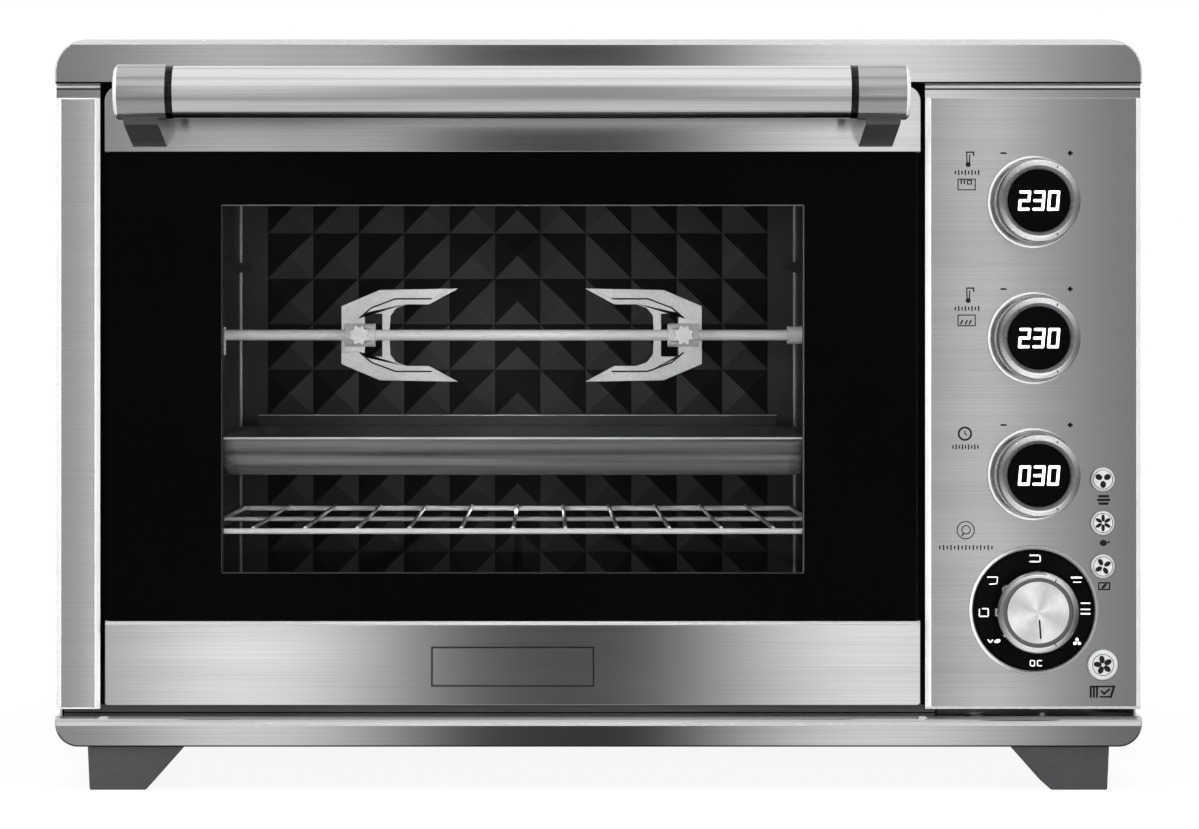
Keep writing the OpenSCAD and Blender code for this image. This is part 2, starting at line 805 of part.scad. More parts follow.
// Tapered foot: upright outside, slanted inside; side is -1 on the left and 1 on the right
module foot(side, y) {
    outer = side * (half_w - foot_side);
    front_plate([y, y + foot_d])
        polygon([
            [outer, foot_h], [outer - side * foot_draft, 0],
            [outer - side * foot_low_w, 0], [outer - side * foot_top_w, foot_h]
        ]);
}

module feet() color("dimgray")
    for (side = [-1, 1], y = [front + foot_front, rear - foot_rear - foot_d])
        foot(side, y);

// Jamb that the door shuts on and that carries the cavity
module front_frame() color("gray") difference() {
    union() {
        slab([sheet - half_w, fascia_x0 + frame_lap], [frame_y, cavity_y], [base_top, cap_z]);
        slab([low_corner_r + sheet - half_w, fascia_x0 + frame_lap], [frame_y, cavity_y],
             [foot_h + sheet, base_top]);
    }
    slab([cavity_x0, cavity_x1], [frame_y - cut, cavity_y + cut], [cavity_z0, cavity_z1]);
}

module door_gasket() color("black") difference() {
    slab([cavity_x0 - gasket_w, cavity_x1 + gasket_w], [frame_y - gasket_t, frame_y],
         [cavity_z0 - gasket_w, cavity_z1 + gasket_w]);
    slab([cavity_x0, cavity_x1], [frame_y - gasket_t - cut, frame_y + cut], [cavity_z0, cavity_z1]);
}

// Pressed shelf runner; side is 1 where it grows towards +X
module runner(x, side, level) {
    z = cavity_z0 + level;
    root = x - side * sheet / 2;
    translate([0, shelf_y1, 0])
        rotate([90, 0, 0])
            linear_extrude(shelf_y1 - cavity_y - shelf_gap)
                polygon([
                    [root, z], [x + side * runner_reach, z],
                    [x + side * runner_reach, z - runner_tip], [x, z - runner_h], [root, z - runner_h]
                ]);
}

// Side wall of the cavity between its outer and inner face, with runners on the inner one
module cavity_side(x, inner, side) {
    difference() {
        slab(x, [cavity_y, back_y], [cavity_z0, cavity_z1]);
        for (y = heater_ys, z = [low_heater_z, high_heater_z])
            rod_x([x[0] - cut, x[1] + cut], y, z, heater_d + 2 * loose_fit);
    }
    for (level = [rack_level, tray_level, spare_level])
        runner(inner, side, level);
}

module cavity_left_wall() color("darkslategray")
    cavity_side([cavity_x0 - sheet, cavity_x0], cavity_x0, 1);

// Right side wall, bored for the drive and pierced in front of the fan
module cavity_right_wall() color("darkslategray") {
    x = [cavity_x1 - cut, cavity_x1 + sheet + cut];
    difference() {
        cavity_side([cavity_x1, cavity_x1 + sheet], cavity_x1, -1);
        rod_x(x, spit_y, spit_z, drive_d + 2 * loose_fit);
        for (ring = [1:fan_hole_rings], i = [0:6 * ring - 1])
            rod_x(x, fan_y + ring * fan_hole_pitch * cos(60 * i / ring),
                  fan_z + ring * fan_hole_pitch * sin(60 * i / ring), fan_hole_d);
    }
}

module cavity_floor() color("darkslategray")
    slab([cavity_x0 - sheet, cavity_x1 + sheet], [cavity_y, back_y], [cavity_z0 - sheet, cavity_z0]);

module cavity_ceiling() color("darkslategray")
    slab([cavity_x0 - sheet, cavity_x1 + sheet], [cavity_y, back_y], [cavity_z1, cavity_z1 + sheet]);

// Field of square pyramids as one closed skin, sunk half a sheet into the wall behind it
module pyramid_field() {
    n = pyramid_columns;
    m = pyramid_rows;
    deep = back_y + sheet / 2;
    corner = function(i, j) j * (n + 1) + i;
    peak = function(i, j) (n + 1) * (m + 1) + j * n + i;
    rear_first = (n + 1) * (m + 1) + n * m;
    far_x = pattern_x0 + n * pyramid_pitch;
    far_z = pattern_z0 + m * pyramid_pitch;
    points = concat(
        [for (j = [0:m], i = [0:n])
            [pattern_x0 + i * pyramid_pitch, back_y, pattern_z0 + j * pyramid_pitch]],
        [for (j = [0:m - 1], i = [0:n - 1])
            [pattern_x0 + (i + 0.5) * pyramid_pitch, back_y - pyramid_h,
             pattern_z0 + (j + 0.5) * pyramid_pitch]],
        [[pattern_x0, deep, pattern_z0], [far_x, deep, pattern_z0],
         [far_x, deep, far_z], [pattern_x0, deep, far_z]]
    );
    slopes = [for (j = [0:m - 1], i = [0:n - 1], side = [0:3])
        let (around = [corner(i, j), corner(i, j + 1), corner(i + 1, j + 1), corner(i + 1, j)])
            [around[side], around[(side + 1) % 4], peak(i, j)]];
    // One outline edge seen from outside, and the two rear corners that close it
    closing = function(row, next, last) concat(
        [for (k = [0:len(row) - 2]) [row[k], row[k + 1], last]], [[row[len(row) - 1], next, last]]);
    edges = concat(
        closing([for (i = [0:n]) corner(i, 0)], rear_first + 1, rear_first),
        closing([for (i = [n:-1:0]) corner(i, m)], rear_first + 3, rear_first + 2),
        closing([for (j = [m:-1:0]) corner(0, j)], rear_first, rear_first + 3),
        closing([for (j = [0:m]) corner(n, j)], rear_first + 2, rear_first + 1)
    );
    polyhedron(points, concat(slopes, edges, [[for (i = [0:3]) rear_first + i]]));
}

module back_wall() color("darkslategray") {
    slab([cavity_x0 - sheet, cavity_x1 + sheet], [back_y, back_y + sheet],
         [cavity_z0 - sheet, cavity_z1 + sheet]);
    pyramid_field();
}

// Heat shield between the cavity and the controls
module control_partition() color("gray") difference() {
    slab([partition_x, partition_face], [cavity_y, rear_face - sheet], [foot_h + sheet, body_h - sheet]);
    rod_x([partition_x - cut, partition_face + cut], spit_y, spit_z, drive_d + 2 * loose_fit);
    rod_x([partition_x - cut, partition_face + cut], fan_y, fan_z, fan_shaft_d + 2 * loose_fit);
}

// Pair of sheathed heater tubes with slimmer terminals
module heater_pair(z) {
    x0 = cavity_x0 - sheet - bushing_len;
    x1 = cavity_x1 + sheet + bushing_len;
    for (y = heater_ys) {
        rod_x([x0, x1], y, z, heater_d);
        rod_x([x0 - terminal_len, x1 + terminal_len], y, z, heater_d / 2);
    }
}

module upper_heaters() color("slategray")
    heater_pair(high_heater_z);

module lower_heaters() color("slategray")
    heater_pair(low_heater_z);

// Ceramic bushings on the outside of the two side walls
module heater_bushings() color("ivory")
    for (y = heater_ys, z = [low_heater_z, high_heater_z],
         x = [cavity_x0 - sheet - bushing_len, cavity_x1 + sheet])
        difference() {
            rod_x([x, x + bushing_len], y, z, bushing_d);
            rod_x([x - cut, x + bushing_len + cut], y, z, heater_d + 2 * running_fit);
        }

// Open hook on the left wall that the tip of the spit lies in
module spit_bracket() color("silver") {
    notch_d = spit_d + 2 * running_fit;
    side_plate([cavity_x0, cavity_x0 + bracket_reach])
        difference() {
            translate([spit_y - bracket_w / 2, spit_z - bracket_drop])
                square([bracket_w, bracket_drop + bracket_lip]);
            translate([spit_y, spit_z])
                circle(d = notch_d);
            translate([spit_y - notch_d / 2, spit_z])
                square([notch_d, bracket_lip + cut]);
        }
}

// Geared motor behind the partition
module rotisserie_motor() color("gray") difference() {
    union() {
        rod_x([partition_face, partition_face + gearbox_h], spit_y, spit_z, gearbox_d);
        rod_x([partition_face + gearbox_h, partition_face + gearbox_h + spit_motor_h],
              spit_y, spit_z, spit_motor_d);
    }
    rod_x([partition_face - cut, partition_face + motor_grip + loose_fit], spit_y, spit_z,
          drive_d + 2 * running_fit);
}

module fan_motor() color("gray") difference() {
    rod_x([partition_face, partition_face + fan_motor_h], fan_y, fan_z, fan_motor_d);
    rod_x([partition_face - cut, partition_face + motor_grip + loose_fit], fan_y, fan_z,
          fan_shaft_d + 2 * running_fit);
}

// Rotor with raked blades on a disc, turning between the side wall and the partition
module fan_rotor() color("silver") {
    disc_x = partition_x - fan_gap - rotor_disc_t;
    blade_x = [disc_x - blade_w + rotor_disc_t, disc_x + rotor_disc_t / 2];
    rod_x([disc_x, disc_x + rotor_disc_t], fan_y, fan_z, rotor_d);
    rod_x([blade_x[0], disc_x + rotor_disc_t], fan_y, fan_z, rotor_hub_d);
    rod_x([disc_x, partition_face + motor_grip], fan_y, fan_z, fan_shaft_d);
    for (i = [0:blade_count - 1])
        translate([0, fan_y, fan_z])
            rotate([360 * i / blade_count, 0, 0])
                translate([0, rotor_hub_d, 0])
                    rotate([blade_angle, 0, 0])
                        slab(blade_x, [0, rotor_d / 2 - rotor_hub_d], [0, blade_t]);
}

module display_board() color("darkgreen")
    slab([knob_x - display_board_w / 2, knob_x + display_board_w / 2], [board_y, board_y + board_t],
         [knob_zs[0] - display_board_margin, knob_zs[2] + display_board_margin]);

// Hollow encoders clamped between the fascia and the display board
module encoder_rings() color("dimgray")
    for (z = knob_zs)
        difference() {
            rod_y(knob_x, [fascia_back, board_y], z, encoder_d);
            rod_y(knob_x, [fascia_back - cut, board_y + cut], z, tail_d + 2 * loose_fit);
        }

// Round displays that stand still while their knobs turn round them
module displays() color("black")
    for (z = knob_zs)
        fascia_turning(knob_x, z)
            polygon([
                [0, front - board_y], [display_d / 2, front - board_y],
                [display_d / 2, knob_h - display_inset - display_chamfer],
                [display_d / 2 - display_chamfer, knob_h - display_inset], [0, knob_h - display_inset]
            ]);

// Rotary switch on the back of the fascia
module function_switch() color("dimgray") difference() {
    slab([knob_x - switch_w / 2, knob_x + switch_w / 2], [fascia_back, fascia_back + switch_depth],
         [function_z - switch_w / 2, function_z + switch_w / 2]);
    rod_y(knob_x, [fascia_back - cut, fascia_back + shaft_grip + loose_fit], function_z,
          shaft_d + 2 * running_fit);
}

// Board with one press switch behind each button, on standoffs from the fascia
module button_board() color("darkgreen") {
    face = tact_y + tact_h;
    slab([button_x - button_board_w / 2, button_x + button_board_w / 2], [face, face + board_t],
         [start_z - button_board_margin, button_zs[2] + button_board_margin]);
    for (z = concat(button_zs, [start_z]))
        slab([button_x - tact_w / 2, button_x + tact_w / 2], [tact_y, face],
             [z - tact_w / 2, z + tact_w / 2]);
    for (z = [start_z + button_pitch, button_zs[0] + button_pitch / 2, button_zs[1] + button_pitch / 2])
        rod_y(button_x, [fascia_back, face], z, standoff_d);
}

// Supply board on standoffs from the partition, with its transformer and relays
module power_board() color("darkgreen") {
    face = partition_face + power_gap;
    y0 = spit_y - power_w / 2;
    z0 = base_top + power_rise;
    slab([face, face + board_t], [y0, y0 + power_w], [z0, z0 + power_h]);
    translate([face, y0 + part_margin, z0 + part_margin])
        cube([transformer_d, transformer_w, transformer_h]);
    for (i = [0:2])
        translate([face, y0 + power_w - part_margin - relay_w, z0 + part_margin + i * relay_pitch])
            cube([relay_d, relay_w, relay_h]);
    for (y = [y0 + standoff_d, y0 + power_w - standoff_d], z = [z0 + standoff_d, z0 + power_h - standoff_d])
        rod_x([partition_face, face], y, z, standoff_d);
}

// Plated ring on the face of the fascia
module plated_ring(z, inner_d, width, height) {
    difference() {
        rod_y(knob_x, [front - height, front], z, inner_d + 2 * width);
        rod_y(knob_x, [front - height - cut, front + cut], z, inner_d);
    }
}

module knob_bezels() color("gainsboro") {
    for (z = knob_zs)
        plated_ring(z, bezel_d - 2 * bezel_w, bezel_w, bezel_h);
    plated_ring(function_z, dial_d + 2 * loose_fit, dial_ring_w, dial_t + dial_lip);
}

// Black disc with a raised lip behind the function knob
module dial_plate() color("black")
    fascia_turning(knob_x, function_z)
        polygon([
            [shaft_d / 2 + loose_fit, 0], [dial_d / 2, 0], [dial_d / 2, dial_t + dial_lip],
            [dial_d / 2 - 1.5 * dial_lip, dial_t + dial_lip], [dial_d / 2 - 2 * dial_lip, dial_t],
            [shaft_d / 2 + loose_fit, dial_t]
        ]);

// Ring knob with a sleeve that runs through the fascia into its encoder
module display_knob(z) color("silver") {
    bore_r = knob_bore / 2;
    rim_r = knob_d / 2;
    ring_r = rim_r - knob_taper - ring_step;
    fascia_turning(knob_x, z)
        polygon([
            [bore_r, front - board_y + loose_fit], [tail_d / 2, front - board_y + loose_fit],
            [tail_d / 2, knob_lift], [rim_r, knob_lift], [rim_r - knob_taper, knob_h - ring_h],
            [ring_r, knob_h - ring_h + ring_step], [ring_r, knob_h - ring_bevel],
            [ring_r - ring_bevel, knob_h], [bore_r + bore_bevel, knob_h], [bore_r, knob_h - bore_bevel]
        ]);
}

module timer_knob()
    display_knob(knob_zs[0]);

module lower_heat_knob()
    display_knob(knob_zs[1]);

module upper_heat_knob()
    display_knob(knob_zs[2]);

// Turned knob with a grooved face and a shaft into the rotary switch
module function_knob() color("silver") {
    rim_r = function_d / 2;
    groove_r = rim_r - function_bevel - function_rim;
    face_r = groove_r - groove_w;
    base = dial_t + knob_lift;
    fascia_turning(knob_x, function_z)
        polygon([
            [0, -trim_skin - shaft_grip], [shaft_d / 2, -trim_skin - shaft_grip], [shaft_d / 2, base],
            [rim_r, base], [rim_r - function_taper, function_h - function_bevel],
            [rim_r - function_bevel, function_h], [groove_r, function_h],
            [groove_r, function_h - groove_depth], [face_r, function_h - groove_depth],
            [face_r, function_h - face_drop], [0, function_h - face_drop]
        ]);
}

// Push button with a keeper flange behind the fascia and a stem towards its switch
module push_button(z, d) color("whitesmoke") {
    flange_h = -trim_skin - flange_gap;
    fascia_turning(button_x, z)
        polygon([
            [0, -trim_skin - stem_len], [d / 4, -trim_skin - stem_len], [d / 4, flange_h - flange_t],
            [d / 2 + flange_lap, flange_h - flange_t], [d / 2 + flange_lap, flange_h], [d / 2, flange_h],
            [d / 2, button_proud - button_bevel], [d / 2 - button_bevel, button_proud], [0, button_proud]
        ]);
}

module lamp_button()
    push_button(button_zs[2], button_d);

module fan_button()
    push_button(button_zs[1], button_d);

module spit_button()
    push_button(button_zs[0], button_d);

module start_button()
    push_button(start_z, start_d);

// Hinge cheek in the gap beside the door, with the pin that the door turns on
module door_hinge(door_side, into) {
    cheek_x = door_side - into * (door_gap + hinge_t) / 2;
    pin_x = door_side + into * pin_len;
    slab([min(cheek_x, cheek_x + into * hinge_t), max(cheek_x, cheek_x + into * hinge_t)],
         [pin_y - pin_d, frame_y], [door_z0, door_z0 + hinge_h]);
    rod_x([min(cheek_x, pin_x), max(cheek_x, pin_x)], pin_y, pin_z, pin_d);
}

module door_hinges() color("gray") {
    door_hinge(door_x0, 1);
    door_hinge(door_x1, -1);
}

// Formed steel rail of the door, open at the back and on its glass side
module door_rail(z, open_z, upper_r, lower_r) {
    difference() {
        front_plate([front, panel_y])
            rounded_panel([door_x0, door_x1], z, upper_r, lower_r);
        front_plate([glass_y, panel_y + cut])
            rounded_panel([door_x0 + door_skin, door_x1 - door_skin], open_z,
                          max(upper_r - door_skin, 0), max(lower_r - door_skin, 0));
        slab([door_x0 - cut, door_x1 + cut], [glass_y, backing_y + loose_fit],
             [low_rail_z1 - glass_lap - loose_fit, top_rail_z0 + glass_lap + loose_fit]);
    }
}

module door_top_rail() color("silver")
    door_rail([top_rail_z0, door_z1], [top_rail_z0 - cut, door_z1 - door_skin], door_corner_r, 0);

// Lower rail with the bare pressed plate and the bosses for the hinge pins
module door_bottom_rail() color("silver") difference() {
    plate_z = (door_z0 + low_rail_z1) / 2 - plate_drop;
    union() {
        door_rail([door_z0, low_rail_z1], [door_z0 + door_skin, low_rail_z1 + cut], 0, door_foot_r);
        for (x = [[door_x0, door_x0 + pin_len], [door_x1 - pin_len, door_x1]])
            slab(x, [pin_y - pin_boss / 2, pin_y + pin_boss / 2], [door_z0, pin_z + pin_boss / 2]);
    }
    for (x = [[door_x0 - cut, door_x0 + pin_len + cut], [door_x1 - pin_len - cut, door_x1 + cut]])
        rod_x(x, pin_y, pin_z, pin_d + 2 * running_fit);
    slab([door_mid - plate_w / 2, door_mid + plate_w / 2], [front - cut, front + plate_depth],
         [plate_z - plate_h / 2, plate_z + plate_h / 2]);
}

// Outer pane, full width, tucked behind both rails
module door_glass() color([0.1, 0.1, 0.12, 0.5])
    slab([door_x0, door_x1], [glass_y, backing_y],
         [low_rail_z1 - glass_lap, top_rail_z0 + glass_lap]);

// Black frame behind the outer pane, with a short tunnel round the window
module glass_backing_frame() color("black") difference() {
    union() {
        slab([door_x0 + door_lining, door_x1 - door_lining], [backing_y, backing_y + backing_t],
             [low_rail_z1 - glass_lap, top_rail_z0 + glass_lap]);
        slab([window_x[0] - window_wall, window_x[1] + window_wall], [backing_y, inner_glass_y],
             [window_z[0] - window_wall, window_z[1] + window_wall]);
    }
    slab(window_x, [backing_y - cut, inner_glass_y + cut], window_z);
}

module door_inner_glass() color([0.1, 0.1, 0.12, 0.5])
    slab([window_x[0] - inner_lap, window_x[1] + inner_lap], [inner_glass_y, panel_y],
         [window_z[0] - inner_lap, window_z[1] + inner_lap]);

// Inner sheet of the door with a turned-in edge all round and the window opening
module door_inner_panel() color("dimgray") difference() {
    union() {
        front_plate([panel_y, panel_y + door_skin])
            rounded_panel([door_x0, door_x1], [door_z0, door_z1], door_corner_r, door_foot_r);
        front_plate([backing_y + backing_t + loose_fit, panel_y])
            difference() {
                rounded_panel([door_x0 + door_lining, door_x1 - door_lining],
                              [pin_z + pin_boss / 2 + loose_fit, door_z1 - door_lining],
                              door_corner_r, 0);
                rounded_panel([door_x0 + door_lining + door_skin, door_x1 - door_lining - door_skin],
                              [pin_z + pin_boss / 2 + loose_fit + door_skin,
                               door_z1 - door_lining - door_skin], door_corner_r, 0);
            }
    }
    slab(window_x, [panel_y - cut, panel_y + door_skin + cut], window_z);
}

module handle_tube() color("gainsboro") difference() {
    rod_x(tube_x, handle_y, handle_z, handle_d);
    rod_x([tube_x[0] - cut, tube_x[1] + cut], handle_y, handle_z, handle_bore);
}

module handle_rings() color("black")
    for (x = [[tube_x[0] - ring_len, tube_x[0]], [tube_x[1], tube_x[1] + ring_len]])
        difference() {
            rod_x(x, handle_y, handle_z, handle_d + sleeve_proud);
            rod_x([x[0] - cut, x[1] + cut], handle_y, handle_z, handle_bore);
        }

// Cast end of the handle: a sleeve, a leg down to the rail and a spigot into the tube
module handle_bracket() {
    translate([handle_x0, handle_y, handle_z])
        rotate([0, 90, 0])
            rotate_extrude()
                polygon([
                    [0, 0], [sleeve_r - sleeve_chamfer, 0], [sleeve_r, sleeve_chamfer],
                    [sleeve_r, sleeve_len], [handle_bore / 2 - loose_fit, sleeve_len],
                    [handle_bore / 2 - loose_fit, sleeve_len + ring_len + spigot_len],
                    [0, sleeve_len + ring_len + spigot_len]
                ]);
    leg_x = handle_x0 + (sleeve_len - leg_w) / 2;
    leg_r = sleeve_r - sleeve_chamfer;
    side_plate([leg_x, leg_x + leg_w])
        polygon([
            [handle_y - leg_r * cos(leg_angle), handle_z - leg_r * sin(leg_angle)],
            [handle_y - leg_nose, handle_z - sleeve_r - leg_foot],
            [front, top_rail_z0 + leg_foot], [front, top_rail_z0 + leg_foot + leg_foot_h],
            [handle_y, handle_z + leg_r / 2]
        ]);
}

module handle_brackets() color("silver") {
    handle_bracket();
    translate([2 * door_mid, 0, 0])
        mirror([1, 0, 0])
            handle_bracket();
}

// Spit with a rounded tip on the left and a square tang on the right
module spit_rod() color("gainsboro") {
    tip_x = cavity_x0 + spit_tip + spit_d / 2;
    rod_x([tip_x, socket_x], spit_y, spit_z, spit_d);
    translate([tip_x, spit_y, spit_z])
        sphere(d = spit_d);
    slab([socket_x - cut, socket_x + tang_len], [spit_y - tang / 2, spit_y + tang / 2],
         [spit_z - tang / 2, spit_z + tang / 2]);
}

// Socket in the cavity and its shaft through the wall and the partition
module spit_drive() color("silver") difference() {
    hole = tang / 2 + loose_fit;
    union() {
        rod_x([socket_x, socket_x + socket_len], spit_y, spit_z, socket_d);
        rod_x([socket_x + socket_len, partition_face + motor_grip], spit_y, spit_z, drive_d);
    }
    slab([socket_x - cut, socket_x + tang_len + loose_fit], [spit_y - hole, spit_y + hole],
         [spit_z - hole, spit_z + hole]);
}

// Outline of one prong above the spit, in shares of the fork's length and half span
module prong_outline() {
    half = fork_span / 2;
    polygon([
        [0, 0], [0, half * 0.62], [fork_len * 0.33, half * 0.97], [fork_len, half],
        [fork_len * 0.75, half * 0.66], [fork_len * 0.56, half * 0.66], [fork_len * 0.47, half * 0.58],
        [fork_len * 0.42, half * 0.42], [fork_len * 0.41, 0]
    ]);
}

// Raised band along the outer edge of a prong, in the same shares
module prong_rib() {
    half = fork_span / 2;
    polygon([
        [0, half * 0.36], [0, half * 0.62], [fork_len * 0.33, half * 0.97], [fork_len, half],
        [fork_len * 0.78, half * 0.8], [fork_len * 0.46, half * 0.8], [fork_len * 0.25, half * 0.6],
        [fork_len * 0.14, half * 0.36]
    ]);
}

// Opening in the plate beside the hub
module hub_window() {
    half = fork_span / 2;
    translate([fork_len * 0.2, 0])
        square([fork_len * 0.15, half * 0.46]);
}

// Stamped fork, back at x = 0 and prongs towards +X, with the hub that clamps on the spit
module fork() difference() {
    union() {
        for (side = [0, 1])
            mirror([0, 0, side]) {
                front_plate([-fork_t / 2, fork_t / 2])
                    difference() {
                        prong_outline();
                        hub_window();
                    }
                front_plate([-fork_t / 2 - rib_t, fork_t / 2])
                    prong_rib();
            }
        rod_x([hub_start, hub_start + hub_len], 0, 0, hub_d);
        rod_y(hub_start + hub_len / 2, [-boss_reach, 0], 0, boss_d);
    }
    rod_x([-cut, fork_len], 0, 0, spit_d + 2 * running_fit);
    rod_y(hub_start + hub_len / 2, [-boss_reach - cut, 0], 0, thumb_stem_d + 2 * running_fit);
}

module left_fork() color("gainsboro")
    translate([left_fork_x, spit_y, spit_z])
        fork();

module right_fork() color("gainsboro")
    translate([right_fork_x, spit_y, spit_z])
        mirror([1, 0, 0])
            fork();

// Thumbscrew in the fork's boss, its head scalloped for the fingers
module thumbscrew(x) {
    head_y = -boss_reach - loose_fit;
    translate([x, spit_y, spit_z]) {
        rod_y(0, [head_y, -spit_d / 2 - loose_fit], 0, thumb_stem_d);
        difference() {
            rod_y(0, [head_y - thumb_head_h, head_y], 0, thumb_d);
            for (i = [0:grip_count - 1])
                rotate([0, 360 * i / grip_count, 0])
                    rod_y(thumb_d / 2, [head_y - thumb_head_h - cut, head_y + cut], 0, grip_d);
        }
    }
}

module left_thumbscrew() color("gainsboro")
    thumbscrew(left_fork_x + hub_start + hub_len / 2);

module right_thumbscrew() color("gainsboro")
    thumbscrew(right_fork_x - hub_start - hub_len / 2);

// Solid inside a tray: four corner posts at the top and four drawn in at the bottom
module pan_form(x, y, z, inset) {
    hull()
        for (level = [[z[1], 0], [z[0], tray_draft]], sx = [0, 1], sy = [0, 1]) {
            reach = tray_corner_r + level[1] + inset;
            translate([x[sx] + (1 - 2 * sx) * reach, y[sy] + (1 - 2 * sy) * reach, level[0]])
                cylinder(h = pan_disc, r = tray_corner_r, $fn = 32);
        }
}

// Baking tray: a drawn pan with a flat rim that lies on the runners
module baking_tray() color("dimgray") {
    play = runner_reach + tray_play;
    pan_x = [cavity_x0 + play, cavity_x1 - play];
    pan_y = [shelf_y0 + tray_play, shelf_y1 - tray_play];
    low = tray_z + tray_wall - tray_depth;
    difference() {
        union() {
            translate([0, 0, tray_z])
                linear_extrude(tray_wall)
                    rounded_panel([cavity_x0 + shelf_gap, cavity_x1 - shelf_gap], [shelf_y0, shelf_y1],
                                  tray_corner_r, tray_corner_r);
            pan_form(pan_x, pan_y, [low, tray_z], 0);
        }
        pan_form(pan_x, pan_y, [low + tray_wall, tray_z + 2 * tray_wall], tray_wall);
    }
    slab([cavity_x0 + shelf_gap + tray_corner_r, cavity_x1 - shelf_gap - tray_corner_r],
         [shelf_y1 - tray_wall, shelf_y1], [tray_z, tray_z + tray_wall + tray_upstand]);
}

// Welded wire rack: a frame, a middle bar and cross wires laid over them
module wire_rack() color("gainsboro") {
    x = [cavity_x0 + shelf_gap + rack_frame_d / 2, cavity_x1 - shelf_gap - rack_frame_d / 2];
    y = [shelf_y0 + rack_frame_d / 2, shelf_y1 - rack_frame_d / 2];
    wire_z = rack_z + rack_frame_d / 2;
    pitch = (x[1] - x[0]) / (rack_wires + 1);
    for (side = y)
        rod_x(x, side, rack_z, rack_frame_d);
    rod_x(x, (y[0] + y[1]) / 2, rack_z, rack_bar_d);
    for (side = x)
        rod_y(side, y, rack_z, rack_frame_d);
    for (px = x, py = y)
        translate([px, py, rack_z])
            sphere(d = rack_frame_d);
    for (i = [1:rack_wires])
        rod_y(x[0] + i * pitch, y, wire_z, rack_wire_d);
}

// Shallow tray on the cavity floor
module crumb_tray() color("dimgray") difference() {
    slab([cavity_x0 + shelf_gap, cavity_x1 - shelf_gap], [shelf_y0, shelf_y1],
         [cavity_z0, cavity_z0 + crumb_h]);
    slab([cavity_x0 + shelf_gap + crumb_wall, cavity_x1 - shelf_gap - crumb_wall],
         [shelf_y0 + crumb_wall, shelf_y1 - crumb_wall],
         [cavity_z0 + crumb_wall, cavity_z0 + crumb_h + cut]);
}

cabinet_wrap();
top_cap();
left_post();
control_fascia();
base_rail();
base_pan();
rear_panel();
feet();
cord_gland();
front_frame();
door_gasket();
cavity_left_wall();
cavity_right_wall();
cavity_floor();
cavity_ceiling();
back_wall();
control_partition();
upper_heaters();
lower_heaters();
heater_bushings();
spit_bracket();
rotisserie_motor();
fan_motor();
display_board();
encoder_rings();
displays();
function_switch();
button_board();
power_board();
knob_bezels();
dial_plate();
door_hinges();
door_top_rail();
door_bottom_rail();
door_glass();
glass_backing_frame();
door_inner_glass();
door_inner_panel();
handle_tube();
handle_brackets();
handle_rings();
upper_heat_knob();
lower_heat_knob();
timer_knob();
function_knob();
lamp_button();
fan_button();
spit_button();
start_button();
spit_rod();
spit_drive();
left_fork();
right_fork();
left_thumbscrew();
right_thumbscrew();
fan_rotor();
baking_tray();
wire_rack();
crumb_tray();
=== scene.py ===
"""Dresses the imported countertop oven: metal, glass and plastic finishes, printed marks, light and camera."""

import json
import math

import bpy
from bpy.props import FloatProperty, FloatVectorProperty, PointerProperty
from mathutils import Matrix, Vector

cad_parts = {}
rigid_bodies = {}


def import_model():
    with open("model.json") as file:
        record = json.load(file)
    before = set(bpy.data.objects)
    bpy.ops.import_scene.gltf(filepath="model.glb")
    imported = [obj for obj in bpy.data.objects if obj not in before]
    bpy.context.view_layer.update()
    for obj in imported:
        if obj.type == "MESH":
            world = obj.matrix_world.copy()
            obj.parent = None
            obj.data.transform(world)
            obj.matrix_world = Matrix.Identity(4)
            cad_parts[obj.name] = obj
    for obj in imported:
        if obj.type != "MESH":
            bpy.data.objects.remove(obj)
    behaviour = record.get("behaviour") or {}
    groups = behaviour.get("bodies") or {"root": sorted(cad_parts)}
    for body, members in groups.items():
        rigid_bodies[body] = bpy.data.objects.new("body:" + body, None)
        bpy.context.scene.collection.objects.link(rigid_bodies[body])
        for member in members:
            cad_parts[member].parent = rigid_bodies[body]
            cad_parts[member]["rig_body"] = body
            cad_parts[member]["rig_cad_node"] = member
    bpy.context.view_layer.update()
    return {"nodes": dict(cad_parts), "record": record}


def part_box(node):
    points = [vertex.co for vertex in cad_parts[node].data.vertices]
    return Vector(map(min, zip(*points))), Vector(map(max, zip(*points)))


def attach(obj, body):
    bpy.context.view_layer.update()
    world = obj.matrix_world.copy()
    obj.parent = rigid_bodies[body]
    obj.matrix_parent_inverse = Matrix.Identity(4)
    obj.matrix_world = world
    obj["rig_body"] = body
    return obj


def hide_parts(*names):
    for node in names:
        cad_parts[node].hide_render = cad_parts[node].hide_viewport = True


bl_info = {
    "name": "Countertop Oven Dressing",
    "version": (1, 0, 0),
    "blender": (4, 5, 0),
    "location": "View3D > Sidebar > Oven",
    "description": "Finishes, printed marks and studio for a countertop oven with a drop-down glass door",
    "category": "Object",
}

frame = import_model()
BODY_OF = {
    node: body
    for body, nodes in frame["record"]["behaviour"]["bodies"].items()
    for node in nodes
}
MM = 0.001

# How near to a plane a point counts as on it.
FLUSH = 0.05 * MM

# The colour sockets of a Mix node, which share their names with its number sockets.
COLOUR_A, COLOUR_B, COLOUR_OUT = 6, 7, 2

# The photograph in pixels: its frame, the point that the lens looks straight at, and the oven's middle on the floor.
PHOTO_WIDTH = 1199
PHOTO_HEIGHT = 829
PHOTO_AXIS = (548, 345)
PHOTO_GROUND = (598.5, 790.6)

# Where the studio lamps point, in metres: near the middle of the oven's front.
LAMP_TARGET = Vector((0, -0.1, 0.2))

